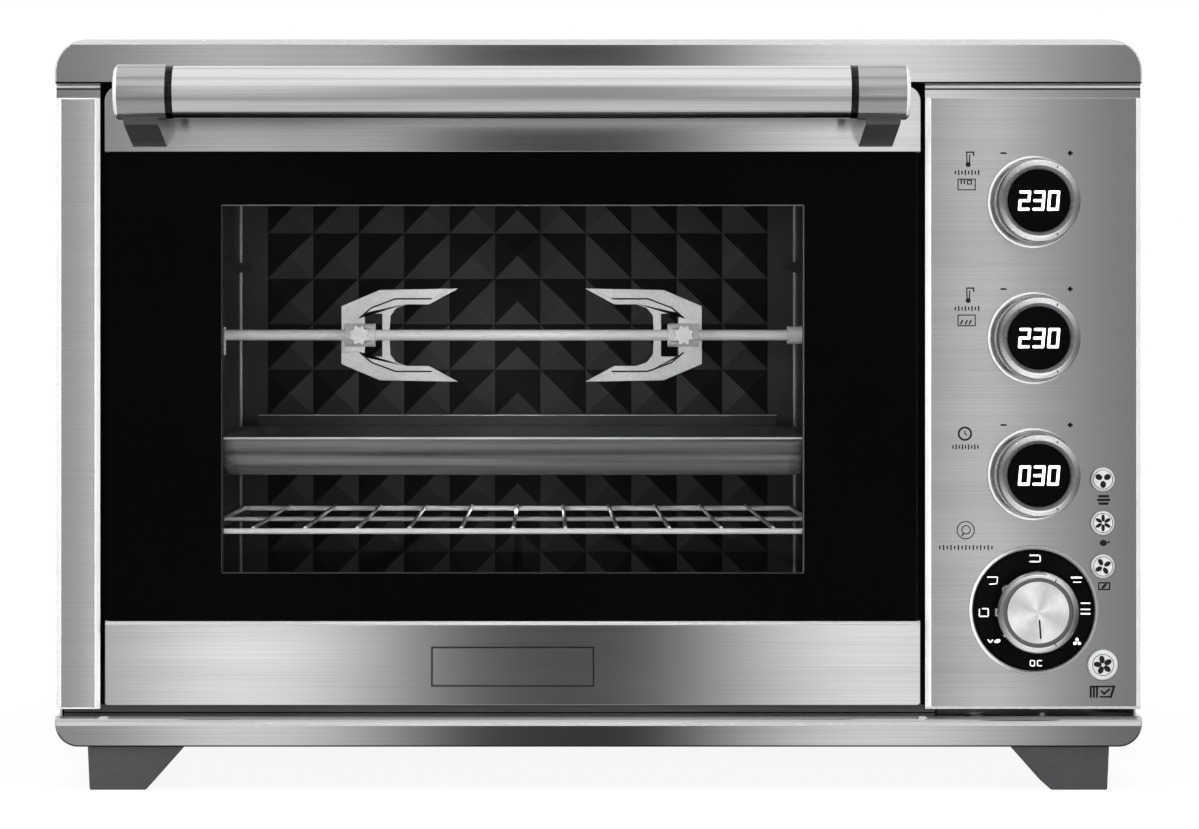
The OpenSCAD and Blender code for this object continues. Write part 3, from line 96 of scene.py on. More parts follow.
DISPLAY_KNOBS = ("upper_heat_knob", "lower_heat_knob", "timer_knob")
KNOBS = (*DISPLAY_KNOBS, "function_knob")

# The bars of a figure, each between two of six corners; -1 is left or low, 1 is right or high.
TOP, MIDDLE, FOOT = (((-1, j), (1, j)) for j in (1, 0, -1))
LEFT_HIGH, RIGHT_HIGH = (((i, 0), (i, 1)) for i in (-1, 1))
LEFT_LOW, RIGHT_LOW = (((i, -1), (i, 0)) for i in (-1, 1))
FIGURES = {
    "0": (TOP, FOOT, LEFT_HIGH, LEFT_LOW, RIGHT_HIGH, RIGHT_LOW),
    "2": (TOP, MIDDLE, FOOT, RIGHT_HIGH, LEFT_LOW),
    "3": (TOP, MIDDLE, FOOT, RIGHT_HIGH, RIGHT_LOW),
}


def linear(code):
    """An sRGB hex colour such as #8a8b8c as linear red, green, blue and alpha."""
    channels = [int(code[i:i + 2], 16) / 255 for i in (1, 3, 5)]
    return [c / 12.92 if c <= 0.04045 else ((c + 0.055) / 1.055) ** 2.4 for c in channels] + [1.0]


def colour(name, code, text):
    """A colour property of the panel, with its default as an sRGB hex code."""
    return FloatVectorProperty(
        name=name, description=text, subtype="COLOR", size=4, min=0.0, max=1.0, default=linear(code)
    )


def length(name, millimetres, text):
    """A length property of the panel, with its default in millimetres."""
    return FloatProperty(
        name=name, description=text, subtype="DISTANCE", unit="LENGTH", min=0.0, default=millimetres * MM
    )


class OvenSizes(bpy.types.PropertyGroup):
    """Sizes of the fine detail that the looks add to the solids."""

    trim_edge: length("Trim edge", 0.8, "Round on the folded edges of the steel trim")
    rail_bead: length("Rail bead", 2.0, "Width of the bright beads along the base rail and the door's lower rail")
    sheet_edge: length("Sheet edge", 0.35, "Round on cut sheet edges and mouldings")
    knob_edge: length("Knob edge", 0.5, "Round on the turned edges of the knobs and buttons")
    ink: length("Ink", 0.12, "Height of the printed marks over the panel")
    digit_height: length("Digit height", 8.8, "Height of a figure on the displays, between its bars' middles")
    digit_width: length("Digit width", 4.5, "Width of a figure on the displays, between its bars' middles")
    digit_pitch: length("Digit pitch", 7.4, "From one figure to the next")
    digit_stroke: length("Digit stroke", 1.4, "Width of one lit bar of a figure")
    screw_head: length("Screw head", 6.4, "Diameter of the pan-head screws")


class OvenColours(bpy.types.PropertyGroup):
    """Colours of the oven's finishes."""

    steel: colour("Steel", "#e6e7e6", "Brushed stainless steel")
    steel_shade: colour("Steel shade", "#d8d9d8", "Deepest brush marks in the steel")
    chrome: colour("Chrome", "#e3e4e5", "Brightest tone of the plated screws")
    enamel: colour("Enamel", "#252526", "Dark coating of the cavity")
    tray: colour("Tray", "#68696a", "Enamel of the baking tray")
    black: colour("Black", "#050505", "Black lacquer of the dial")
    foot: colour("Foot", "#2c2d2e", "Moulded feet")
    ink: colour("Ink", "#0c0c0d", "Dark printed marks")
    light: colour("Light", "#f6f7f7", "Lit figures and pale printed marks")


class OvenStudio(bpy.types.PropertyGroup):
    """The camera's place and the light of the studio."""

    camera_distance: length("Camera distance", 1980, "From the lens to the front of the trim")
    pixel: length("Pixel", 0.515, "What one pixel of the photograph spans at the front of the trim")
    side_power: FloatProperty(name="Side lamps", description="Power of each side lamp", unit="POWER", default=26)
    top_power: FloatProperty(name="Top lamp", description="Power of the lamp overhead", unit="POWER", default=30)
    fill: FloatProperty(name="Fill", description="Strength of the even light from all round", default=0.5)
    cavity_power: FloatProperty(name="Cavity lamp", description="Power of the inner lamp", unit="POWER", default=1.2)
    front_power: FloatProperty(name="Front lamp", description="Power of the lens lamp", unit="POWER", default=70)


def deselect_all():
    """Leaves nothing selected and Blender in object mode."""
    if bpy.context.mode != "OBJECT":
        bpy.ops.object.mode_set(mode="OBJECT")
    bpy.ops.object.select_all(action="DESELECT")


def take(*objects):
    """Selects these objects alone, with the first one active."""
    deselect_all()
    for thing in objects:
        thing.select_set(True)
    bpy.context.view_layer.objects.active = objects[0]


def apply_modifiers(piece):
    """Applies a piece's modifiers in their order."""
    take(piece)
    for modifier in list(piece.modifiers):
        bpy.ops.object.modifier_apply(modifier=modifier.name)


def shade(piece, angle=32):
    """Shades a piece smooth below an angle, with its large flat faces kept flat."""
    take(piece)
    bpy.ops.object.shade_smooth_by_angle(angle=math.radians(angle))
    normals = piece.modifiers.new("normals", "WEIGHTED_NORMAL")
    normals.keep_sharp = True
    apply_modifiers(piece)


def soften(piece, width, segments=2, angle=32):
    """Rounds all of a piece's sharp edges, then shades it."""
    bevel = piece.modifiers.new("edges", "BEVEL")
    bevel.width = width
    bevel.segments = segments
    bevel.limit_method = "ANGLE"
    bevel.angle_limit = math.radians(angle)
    bevel.use_clamp_overlap = False
    apply_modifiers(piece)
    shade(piece, angle)


def fold(piece, radius, test):
    """Rounds those sharp edges of a piece whose two ends pass a test, as a brake fold rounds a sheet."""
    take(piece)
    bpy.ops.object.mode_set(mode="EDIT")
    bpy.ops.mesh.select_mode(type="EDGE")
    bpy.ops.mesh.select_all(action="DESELECT")
    bpy.ops.mesh.edges_select_sharp(sharpness=math.radians(30))
    bpy.ops.object.mode_set(mode="OBJECT")
    points = piece.data.vertices
    for group in (points, piece.data.polygons):
        group.foreach_set("select", [False] * len(group))
    for edge in piece.data.edges:
        edge.select = edge.select and test(*(points[i].co for i in edge.vertices))
    bpy.ops.object.mode_set(mode="EDIT")
    bpy.ops.mesh.bevel(offset=radius, segments=3, affect="EDGES")
    bpy.ops.object.mode_set(mode="OBJECT")


def middle_of(node):
    """The middle of a CAD node's box."""
    return sum(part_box(node), Vector()) / 2


def made_of(name):
    """A finish by its name, made earlier by the finishes operator."""
    return bpy.data.materials[name]


def copy_of(node, surface):
    """A copy of a CAD node with its doubles merged and flat faces joined, shown in its place with a named finish."""
    take(frame["nodes"][node])
    bpy.ops.object.duplicate()
    piece = bpy.context.active_object
    piece.name = node + "_shell"
    piece.parent = None
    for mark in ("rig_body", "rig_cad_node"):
        del piece[mark]
    bpy.ops.object.mode_set(mode="EDIT")
    bpy.ops.mesh.select_all(action="SELECT")
    bpy.ops.mesh.remove_doubles(threshold=0.005 * MM)
    bpy.ops.mesh.dissolve_limited(angle_limit=math.radians(0.5))
    bpy.ops.object.mode_set(mode="OBJECT")
    piece.data.materials.clear()
    piece.data.materials.append(made_of(surface))
    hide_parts(node)
    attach(piece, BODY_OF[node])
    return piece


def reface(piece, surface, test):
    """Gives another finish to those faces of a piece whose middle and normal pass a test."""
    piece.data.materials.append(made_of(surface))
    for face in piece.data.polygons:
        if test(face.center, face.normal):
            face.material_index = len(piece.data.materials) - 1


def strip(name, low, high, body, surface):
    """A straight strip with rounded edges between two corners, riding on a body."""
    low, high = Vector(low), Vector(high)
    deselect_all()
    bpy.ops.mesh.primitive_cube_add(size=1)
    piece = bpy.context.active_object
    piece.name = name
    bpy.ops.object.mode_set(mode="EDIT")
    bpy.ops.transform.resize(value=high - low, center_override=(0, 0, 0))
    bpy.ops.transform.translate(value=(low + high) / 2)
    bpy.ops.object.mode_set(mode="OBJECT")
    piece.data.materials.append(made_of(surface))
    soften(piece, 0.3 * min(high - low), 3)
    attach(piece, body)


def bead(name, node, inset, foot, top):
    """A bright bead along the front of a node between two heights; inset is in mm from the node's ends."""
    low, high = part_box(node)
    strip(
        name, (low.x + inset * MM, low.y - 0.25 * MM, foot), (high.x - inset * MM, low.y + 0.2 * MM, top),
        BODY_OF[node], "Satin bead",
    )


def paint(surface, *nodes):
    """Gives a finish to CAD nodes that keep their shape."""
    for node in nodes:
        for place in frame["nodes"][node].material_slots:
            place.material = made_of(surface)


def studio():
    """The panel's studio settings."""
    return bpy.context.scene.oven_studio


def sizes():
    """The panel's sizes."""
    return bpy.context.scene.oven_sizes


def colours():
    """The panel's colours."""
    return bpy.context.scene.oven_colours


def add_node(tree, kind, settings=None, values=None, links=None):
    """Adds one shader node with its settings, socket values and links from other nodes' outputs."""
    node = tree.nodes.new("ShaderNode" + kind)
    for name, value in (settings or {}).items():
        setattr(node, name, value)
    for socket, value in (values or {}).items():
        node.inputs[socket].default_value = value
    for socket, output in (links or {}).items():
        tree.links.new(output, node.inputs[socket])
    return node


def new_material(name, values):
    """A Principled material with these socket values, and its tree, shader and object coordinates."""
    material = bpy.data.materials.new(name)
    material.use_nodes = True
    tree = material.node_tree
    shader = tree.nodes["Principled BSDF"]
    for socket, value in values.items():
        shader.inputs[socket].default_value = value
    place = add_node(tree, "TexCoord").outputs["Object"]
    return material, tree, shader, place


def tint_of(code):
    """A linear colour, from an sRGB hex code or the name of one of the panel's colours."""
    return linear(code) if code.startswith("#") else list(getattr(colours(), code))


def finish(name, dark, light, rough, grain, drift, bump, values):
    """A surface whose colour, roughness and height follow a fine grain over a broad drift, as rows of FINISHES say."""
    material, tree, shader, place = new_material(name, values)
    marks = []
    for size, detail in ((grain, 4.0), (drift, 2.0)):
        sides = size if isinstance(size, tuple) else (size, size, size)
        scaled = add_node(
            tree, "Mapping", values={"Scale": [1 / (s * MM) for s in sides]}, links={"Vector": place}
        )
        noise = add_node(
            tree, "TexNoise", values={"Scale": 1.0, "Detail": detail}, links={"Vector": scaled.outputs[0]}
        )
        marks.append(noise.outputs["Fac"])
    both = add_node(
        tree, "Mix", values={"Factor": 0.4}, links={"A": marks[0], "B": marks[1]}
    ).outputs["Result"]
    spread = add_node(
        tree, "MapRange", values={"From Min": 0.34, "From Max": 0.66}, links={"Value": both}
    ).outputs["Result"]
    tint = add_node(
        tree, "Mix", {"data_type": "RGBA"}, {COLOUR_A: tint_of(dark), COLOUR_B: tint_of(light)},
        {"Factor": spread},
    )
    sheen = add_node(
        tree, "MapRange", values={"To Min": rough[1], "To Max": rough[0]}, links={"Value": spread}
    )
    height = add_node(tree, "Bump", values={"Distance": bump * MM}, links={"Height": marks[0]})
    tree.links.new(tint.outputs[COLOUR_OUT], shader.inputs["Base Color"])
    tree.links.new(sheen.outputs["Result"], shader.inputs["Roughness"])
    tree.links.new(height.outputs["Normal"], shader.inputs["Normal"])
    return material


def spun_metal_with_painted_fans(name):
    """Turned aluminium: rings round the knob's axis draw its reflections round the face, and four fans of painted
    highlight and shade lie across it.
    """
    metal = {"Metallic": 0.7, "Anisotropic": 0.5}
    material = finish(name, "#c9caca", "#dcdddd", (0.3, 0.4), 4, 12, 0.0002, metal)
    tree = material.node_tree
    shader = tree.nodes["Principled BSDF"]
    turned = add_node(tree, "Tangent", {"direction_type": "RADIAL", "axis": "Y"})
    tree.links.new(turned.outputs["Tangent"], shader.inputs["Tangent"])
    paint_light_fans(material, "function_knob", 4, 0, 0.7)


def paint_light_fans(material, node, count, turn, lowest):
    """Paints fans of highlight and shade round a node's axis into a finish's colour; turn is where they start, in
    degrees.
    """
    tree = material.node_tree
    middle = middle_of(node)
    place = add_node(
        tree, "Mapping", {"vector_type": "TEXTURE"}, {"Location": middle, "Rotation": (math.radians(90), 0, 0)},
        {"Vector": tree.nodes["Texture Coordinate"].outputs["Object"]},
    )
    around = add_node(tree, "TexGradient", {"gradient_type": "RADIAL"}, links={"Vector": place.outputs[0]})
    wave = add_node(
        tree, "Math", {"operation": "MULTIPLY_ADD"}, {1: 2 * math.pi * count, 2: math.radians(turn)},
        {0: around.outputs["Fac"]},
    )
    fans = add_node(tree, "Math", {"operation": "SINE"}, links={0: wave.outputs[0]})
    level = add_node(
        tree, "MapRange", values={"From Min": -1.0, "To Min": lowest}, links={"Value": fans.outputs[0]}
    )
    tone(material, level.outputs["Result"])


def tone(material, level):
    """Darkens a finish by a level, the output of one of its nodes."""
    tree = material.node_tree
    tint = tree.nodes["Principled BSDF"].inputs["Base Color"]
    toned = add_node(
        tree, "Mix", {"data_type": "RGBA"}, {COLOUR_A: linear("#000000")},
        {COLOUR_B: tint.links[0].from_socket, "Factor": level},
    )
    tree.links.new(toned.outputs[COLOUR_OUT], tint)


def paint_shade_along_x(material, start, end, lowest):
    """Paints shade into a finish along X, as on a sheet that leans away from the light: darkest at one X in mm, and
    its full tone at another.
    """
    tree = material.node_tree
    place = add_node(tree, "SeparateXYZ", links={"Vector": tree.nodes["Texture Coordinate"].outputs["Object"]})
    level = add_node(
        tree, "MapRange", {"interpolation_type": "SMOOTHSTEP"},
        {"From Min": start * MM, "From Max": end * MM, "To Min": lowest, "To Max": 1.0},
        {"Value": place.outputs["X"]},
    )
    tone(material, level.outputs["Result"])


def paint_reflection_bands(material, node):
    """Paints bands of reflected light and shade up the front of a rolled sheet: dim at the foot, bright on the roll,
    dim again above it.
    """
    tree = material.node_tree
    low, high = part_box(node)
    place = add_node(tree, "SeparateXYZ", links={"Vector": tree.nodes["Texture Coordinate"].outputs["Object"]})
    rise = add_node(
        tree, "MapRange", values={"From Min": low.z, "From Max": high.z}, links={"Value": place.outputs["Z"]}
    )
    level = add_node(tree, "ValToRGB", links={"Fac": rise.outputs[0]})
    level.color_ramp.elements[0].color = (0.25, 0.25, 0.25, 1)
    level.color_ramp.elements[1].color = (0.55, 0.55, 0.55, 1)
    for height, share in ((0.16, 0.5), (0.3, 1.0), (0.42, 0.5), (0.62, 0.85), (0.8, 0.5)):
        level.color_ramp.elements.new(height).color = (share, share, share, 1)
    tone(material, level.outputs["Color"])


def circuit_board(name):
    """Glass-epoxy board under green solder mask, with copper tracks showing through as paler lines."""
    material, tree, shader, place = new_material(name, {"Roughness": 0.38, "Coat Weight": 0.3})
    tracks = add_node(
        tree, "TexBrick", {"offset": 0.37},
        {"Color1": linear("#0f4a2a"), "Color2": linear("#145634"), "Mortar": linear("#2f7d4f"),
         "Scale": 1.0, "Mortar Size": 0.0006, "Brick Width": 0.011, "Row Height": 0.0037},
        {"Vector": place},
    )
    tree.links.new(tracks.outputs["Color"], shader.inputs["Base Color"])
    height = add_node(
        tree, "Bump", values={"Distance": 0.04 * MM}, links={"Height": tracks.outputs["Fac"]}
    )
    tree.links.new(height.outputs["Normal"], shader.inputs["Normal"])


def toughened_glass(name, tint, alpha):
    """Float glass, toughened in rollers: clear, with a faint waviness that moves its reflections."""
    values = {"Base Color": tint, "Roughness": 0.03, "IOR": 1.5, "Alpha": alpha, "Specular IOR Level": 0.04}
    material, tree, shader, place = new_material(name, values)
    wave = add_node(tree, "TexNoise", values={"Scale": 1 / (60 * MM), "Detail": 1.0}, links={"Vector": place})
    height = add_node(
        tree, "Bump", values={"Distance": 0.01 * MM}, links={"Height": wave.outputs["Fac"]}
    )
    tree.links.new(height.outputs["Normal"], shader.inputs["Normal"])


METAL = {"Metallic": 1.0}
BRUSHED = {"Metallic": 1.0, "Anisotropic": 0.9, "Anisotropic Rotation": 0.25}

# The sizes and height of brush marks along X. Real ones are finer than a pixel, so these are as coarse as they need
# to be to show.
ALONG_X = ((160, 0.6, 0.6), (340, 22, 12), 0.002)

# Each finish: its name; its darker and lighter colour, as an sRGB hex code or a colour of the panel; its lowest and
# highest roughness; the size of a fine mark and of a broad one in mm, along X, Y and Z or alike on all three; the
# height of the fine marks in mm; and other values of its shader.
FINISHES = (
    # Sheets brushed along their length draw reflections out into soft bands across the marks.
    ("Brushed stainless steel", "steel_shade", "steel", (0.11, 0.15), *ALONG_X, BRUSHED),
    # The panel and the upper trim carry painted shade along X, added by the finishes operator.
    ("Brushed panel steel", "steel_shade", "steel", (0.11, 0.15), *ALONG_X, BRUSHED),
    ("Brushed upper steel", "steel_shade", "steel", (0.11, 0.15), *ALONG_X, BRUSHED),
    ("Brushed door steel", "#dedfde", "#ecedec", (0.11, 0.15), *ALONG_X, BRUSHED),
    ("Brushed rail steel", "#c4c5c4", "#d3d4d3", (0.08, 0.11), *ALONG_X, BRUSHED),
    # The wrap is brushed from front to back, and duller.
    ("Brushed stainless wrap", "steel_shade", "steel", (0.18, 0.24), (0.6, 160, 0.6), (12, 340, 12), 0.002, BRUSHED),
    # The tube shows one long highlight, with dark edges where it turns away.
    ("Brushed handle tube", "#e2e3e3", "#f3f3f3", (0.16, 0.22), (160, 0.8, 0.8), (300, 9, 9), 0.002,
     {"Metallic": 1.0, "Anisotropic": 0.5, "Anisotropic Rotation": 0.25}),
    ("Brushed bracket", "#b2b3b4", "#c6c7c7", (0.12, 0.18), (60, 2, 2), (120, 9, 9), 0.0005, METAL),
    # Buffed rings and bevels keep a thin bright line round the darker parts; on the bezels and the dial ring it is a
    # painted highlight on their left sides.
    ("Polished bezel", "#c6c7c7", "#d6d7d7", (0.11, 0.15), *ALONG_X, {"Metallic": 0.5}),
    ("Polished dial ring", "#c6c7c7", "#d6d7d7", (0.11, 0.15), *ALONG_X, {"Metallic": 0.5}),
    ("Polished bevel", "#c6c7c7", "#d6d7d7", (0.16, 0.24), (40, 1, 1), (90, 20, 20), 0.0005, {"Metallic": 0.5}),
    ("Satin bead", "#a4a5a5", "#b3b4b4", (0.2, 0.3), (60, 1, 1), (90, 20, 20), 0.0005, {"Metallic": 0.6}),
    # Faces in the shade of the trim are given dark steel, painted shade, and so is the slot under the door; smoked
    # chrome is also the black of the handle's rings, and gaps and seams show as matt grey lines.
    ("Shaded steel", "#4a4b4c", "#6a6b6c", (0.2, 0.3), (60, 0.6, 0.6), (120, 12, 12), 0.002, METAL),
    ("Smoked chrome", "#17181a", "#3b3d3f", (0.12, 0.2), 2, 14, 0.0006, METAL),
    ("Seam bead", "#5c5d5e", "#77787a", (0.3, 0.45), (0.8, 0.8, 60), (8, 8, 90), 0.002, {}),
    ("Dim rim", "#37383a", "#454648", (0.3, 0.45), (60, 0.8, 60), (90, 8, 90), 0.001, {}),
    ("Blackened sill steel", "#262728", "#333435", (0.35, 0.5), (60, 0.8, 0.8), (90, 8, 8), 0.002, {}),
    # Painted highlight: the tray's top edges and front lip are pale grey in streaks, as light catches them.
    ("Worn enamel edge", "#9b9c9d", "#c2c3c3", (0.28, 0.4), (24, 0.8, 0.8), (70, 8, 8), 0.003, {"Metallic": 0.4}),
    # Zinc is a cool even grey with blurred reflections; chrome is a mirror with hardly any haze.
    ("Zinc-plated sheet", "#9ea2a5", "#b0b4b6", (0.34, 0.44), 3, 40, 0.004, METAL),
    ("Chrome plate", "#cfd1d2", "chrome", (0.05, 0.11), 2, 40, 0.0006, METAL),
    # Forks and wires are pale and soft, so they stand out from the dark cavity without sparkling.
    ("Stamped stainless steel", "#a8a9a8", "#c2c3c2", (0.34, 0.46), 1.1, 24, 0.008, {"Metallic": 0.25}),
    ("Bright-drawn wire", "#b2b3b3", "#c8c9c9", (0.24, 0.36), (8, 0.8, 0.8), 30, 0.002, {"Metallic": 0.25}),
    # Metallic paint has a fine sparkle and no clear reflection.
    ("Satin silver paint", "#b6b7b7", "#cdcece", (0.3, 0.42), 0.5, 12, 0.003, {"Metallic": 0.6}),
    # Cast, rolled and drawn metal inside the casing is blotched and dull.
    ("Aluminium", "#a9abad", "#cfd1d3", (0.3, 0.44), 1.4, 30, 0.008, METAL),
    ("Motor steel", "#7c7f82", "#a7aaac", (0.34, 0.5), 1.2, 26, 0.01, METAL),
    # Heat turns the sheath brown and matt in bands along its length.
    ("Oxidised heater sheath", "#3c3733", "#6d6660", (0.38, 0.6), (2, 0.8, 0.8), (46, 30, 30), 0.012,
     {"Metallic": 0.85}),
    # Sprayed enamel is dark with a faint orange peel; a duller, darker copy of it is painted shade on facets that face
    # up or away from the middle.
    ("Cavity coating", "#141415", "enamel", (0.3, 0.48), 0.9, 60, 0.008, {"Specular IOR Level": 0.5}),
    ("Thin cavity coating", "#080809", "#0f0f10", (0.4, 0.56), 0.9, 60, 0.008, {"Specular IOR Level": 0.25}),
    # The tray's glossy enamel runs in streaks along its width; painted bands of reflection run up its front.
    ("Tray enamel", "#303132", "tray", (0.14, 0.3), (180, 4, 3), (260, 30, 7), 0.003,
     {"Specular IOR Level": 0.6, "Coat Weight": 0.3}),
    # Moulded plastic and rubber are black and matt, with the grain of the mould; fired steatite is cream and chalky.
    ("Moulded nylon foot", "#252627", "foot", (0.5, 0.68), 0.8, 30, 0.02, {}),
    ("Black moulded plastic", "#0b0b0c", "#18181a", (0.42, 0.6), 0.7, 24, 0.015, {}),
    ("Silicone rubber", "#101011", "#1c1c1d", (0.6, 0.78), 0.8, 20, 0.01, {}),
    ("Steatite ceramic", "#cfc8b8", "#e6e0d3", (0.45, 0.65), 0.8, 8, 0.01, {}),
    # Print behind glass, lacquer and tinted acrylic are the deepest blacks, with little shine of their own.
    ("Black glass print", "#010101", "#030303", (0.3, 0.4), 3, (200, 200, 120), 0.001, {"Specular IOR Level": 0.03}),
    ("Black dial lacquer", "#010101", "black", (0.2, 0.3), 0.8, 20, 0.001, {"Specular IOR Level": 0.06}),
    ("Display acrylic", "#010101", "#030303", (0.05, 0.1), 1, 30, 0.0006, {"Specular IOR Level": 0.05}),
    # Screen print is flat and matt, and a little uneven at its thin places.
    ("Dark ink", "ink", "#161617", (0.4, 0.55), 0.4, 6, 0.004, {"Specular IOR Level": 0.1}),
    ("Pale ink", "#d2d3d3", "light", (0.4, 0.55), 0.4, 6, 0.004, {}),
)


class OVEN_OT_make_finishes(bpy.types.Operator):
    """Makes every finish of the oven, each named for its material."""

    bl_idname = "oven.make_finishes"
    bl_label = "Make finishes"

    def execute(self, context):
        for row in FINISHES:
            finish(*row)
        # Painted shade along X: the control column and the upper trim's left end are darker towards the left, and the
        # bezels and the dial ring towards the right, which leaves a painted highlight on their left sides.
        middle = middle_of("function_knob").x / MM
        for name, start, end, lowest in (
            ("Brushed panel steel", 160, 213, 0.5), ("Brushed upper steel", -165, -85, 0.62),
            ("Polished bezel", middle + 18, middle - 6, 0.36), ("Polished dial ring", middle - 6, middle - 26, 0.36),
        ):
            paint_shade_along_x(made_of(name), start, end, lowest)
        # Painted highlight: a turned and plated face is toned in two fans of light and shade that stay where they are
        # round its own axis.
        for node in KNOBS:
            turned = finish(
                "Turned chrome, " + node, "#dadbdb", "#ececec", (0.1, 0.18), 1, 30, 0.0006, {"Metallic": 0.8}
            )
            paint_light_fans(turned, node, 2, -70, 0.2)
        paint_reflection_bands(made_of("Tray enamel"), "baking_tray")
        # A figure behind the acrylic glows evenly, without a bright core.
        glow = {"Emission Color": list(colours().light), "Emission Strength": 0.75}
        finish("Lit figure", "#e9eaea", "light", (0.3, 0.4), 0.4, 8, 0.001, glow)
        spun_metal_with_painted_fans("Spun aluminium")
        circuit_board("Solder-masked board")
        toughened_glass("Toughened door glass", linear("#030303"), 0.07)
        toughened_glass("Toughened inner glass", linear("#030303"), 0.05)
        return {"FINISHED"}


def is_rounded(normal):
    """Whether a face leans between the front and the sides, as those on a folded edge do."""
    return -0.97 < normal.y < -0.1


class OVEN_OT_dress_cabinet(bpy.types.Operator):
    """Folds the edges of the steel trim and finishes the cabinet's sheets, feet and cord gland."""

    bl_idname = "oven.dress_cabinet"
    bl_label = "Dress cabinet"

    def execute(self, context):
        for node, steel in (
            ("top_cap", "Brushed upper steel"), ("left_post", "Brushed stainless steel"),
            ("control_fascia", "Brushed panel steel"), ("base_rail", "Brushed rail steel"),
        ):
            low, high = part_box(node)
            rim = 8 * MM

            def on_front_rim(a, b):
                inside = all(
                    low.x + rim < p.x < high.x - rim and low.z + rim < p.z < high.z - rim for p in (a, b)
                )
                return max(a.y, b.y) < low.y + FLUSH and not inside

            piece = copy_of(node, steel)
            fold(piece, sizes().trim_edge, on_front_rim)
            shade(piece)
            if node != "base_rail":
                bevel = "Satin bead" if node == "top_cap" else "Polished bevel"
                reface(piece, bevel, lambda centre, normal: is_rounded(normal))
            # The lower rounded edges of the cap and the base rail are given dark smoked chrome, painted shade on their
            # undersides.
            if node in ("top_cap", "base_rail"):
                reface(piece, "Smoked chrome", lambda centre, normal: is_rounded(normal) and normal.z < -0.1)
        shade(copy_of("cabinet_wrap", "Brushed stainless wrap"))
        soften(copy_of("feet", "Moulded nylon foot"), 2 * sizes().sheet_edge)
        soften(copy_of("cord_gland", "Black moulded plastic"), sizes().sheet_edge)
        paint("Zinc-plated sheet", "rear_panel", "base_pan", "control_partition")
        paint("Black glass print", "front_frame")
        paint("Silicone rubber", "door_gasket")
        return {"FINISHED"}


class OVEN_OT_dress_door(bpy.types.Operator):
    """Folds the door rails and finishes the glass, its printed border, the lining and the hinges."""

    bl_idname = "oven.dress_door"
    bl_label = "Dress door"

    def execute(self, context):
        for node, steel in (("door_top_rail", "Brushed upper steel"), ("door_bottom_rail", "Brushed door steel")):
            low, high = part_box(node)
            rail = copy_of(node, steel)
            fold(rail, sizes().sheet_edge, lambda a, b: max(a.y, b.y) < low.y + FLUSH)
            shade(rail)
        bead("door_rail_bead", node, 0.4, high.z - 0.1 * MM - sizes().rail_bead, high.z - 0.1 * MM)

        # The bare plate lies in a shallow recess of the lower rail, clear of the rail's two hems.
        hem, recess = 5 * MM, 2 * MM

        def in_recess(centre):
            return centre.y < low.y + recess and low.z + hem < centre.z < high.z - hem

        # Painted shade: the recess's walls are given shaded steel, and a dark line is drawn round it.
        reface(rail, "Shaded steel", lambda centre, normal: abs(normal.y) < 0.97 and in_recess(centre))
        ledge = [
            rail.data.vertices[i].co for face in rail.data.polygons for i in face.vertices
            if face.normal.y < -0.9 and face.center.y > low.y + 0.4 * MM and in_recess(face.center)
        ]
        spot = Vector((0, low.y - sizes().ink / 2, 0))
        left, right = (pick(p.x for p in ledge) / MM for pick in (min, max))
        foot, top = (pick(p.z for p in ledge) / MM for pick in (min, max))
        lines = begin("plate_lines")
        outline(spot, (left - 0.7, foot - 0.7), (right + 0.7, top + 0.7), 0.55)
        end_marks(lines, "door", "Smoked chrome")
        paint("Toughened door glass", "door_glass")
        paint("Toughened inner glass", "door_inner_glass")
        paint("Black glass print", "glass_backing_frame")
        paint("Cavity coating", "door_inner_panel")
        soften(copy_of("door_hinges", "Black glass print"), sizes().sheet_edge)
        return {"FINISHED"}


class OVEN_OT_dress_handle(bpy.types.Operator):
    """Rounds and brushes the handle's tube, end rings and brackets."""

    bl_idname = "oven.dress_handle"
    bl_label = "Dress handle"

    def execute(self, context):
        soften(copy_of("handle_tube", "Brushed handle tube"), sizes().sheet_edge)
        soften(copy_of("handle_rings", "Smoked chrome"), 0.5 * sizes().sheet_edge)
        brackets = copy_of("handle_brackets", "Brushed bracket")
        soften(brackets, sizes().sheet_edge)
        axis = middle_of("handle_tube")
        # The slopes at the outer end of each bracket are polished, and its underside, in the shade, is given dark
        # steel: painted shade.
        reface(
            brackets, "Polished bevel",
            lambda centre, normal: normal.x * (centre.x - axis.x) > 0.02 * abs(centre.x - axis.x)
            and 0.12 < abs(normal.x) < 0.98 and normal.y < 0.2,
        )
        reface(
            brackets, "Blackened sill steel",
            lambda centre, normal: normal.y < 0.1 and normal.z < -0.25 and centre.z < axis.z - 12 * MM,
        )
        return {"FINISHED"}


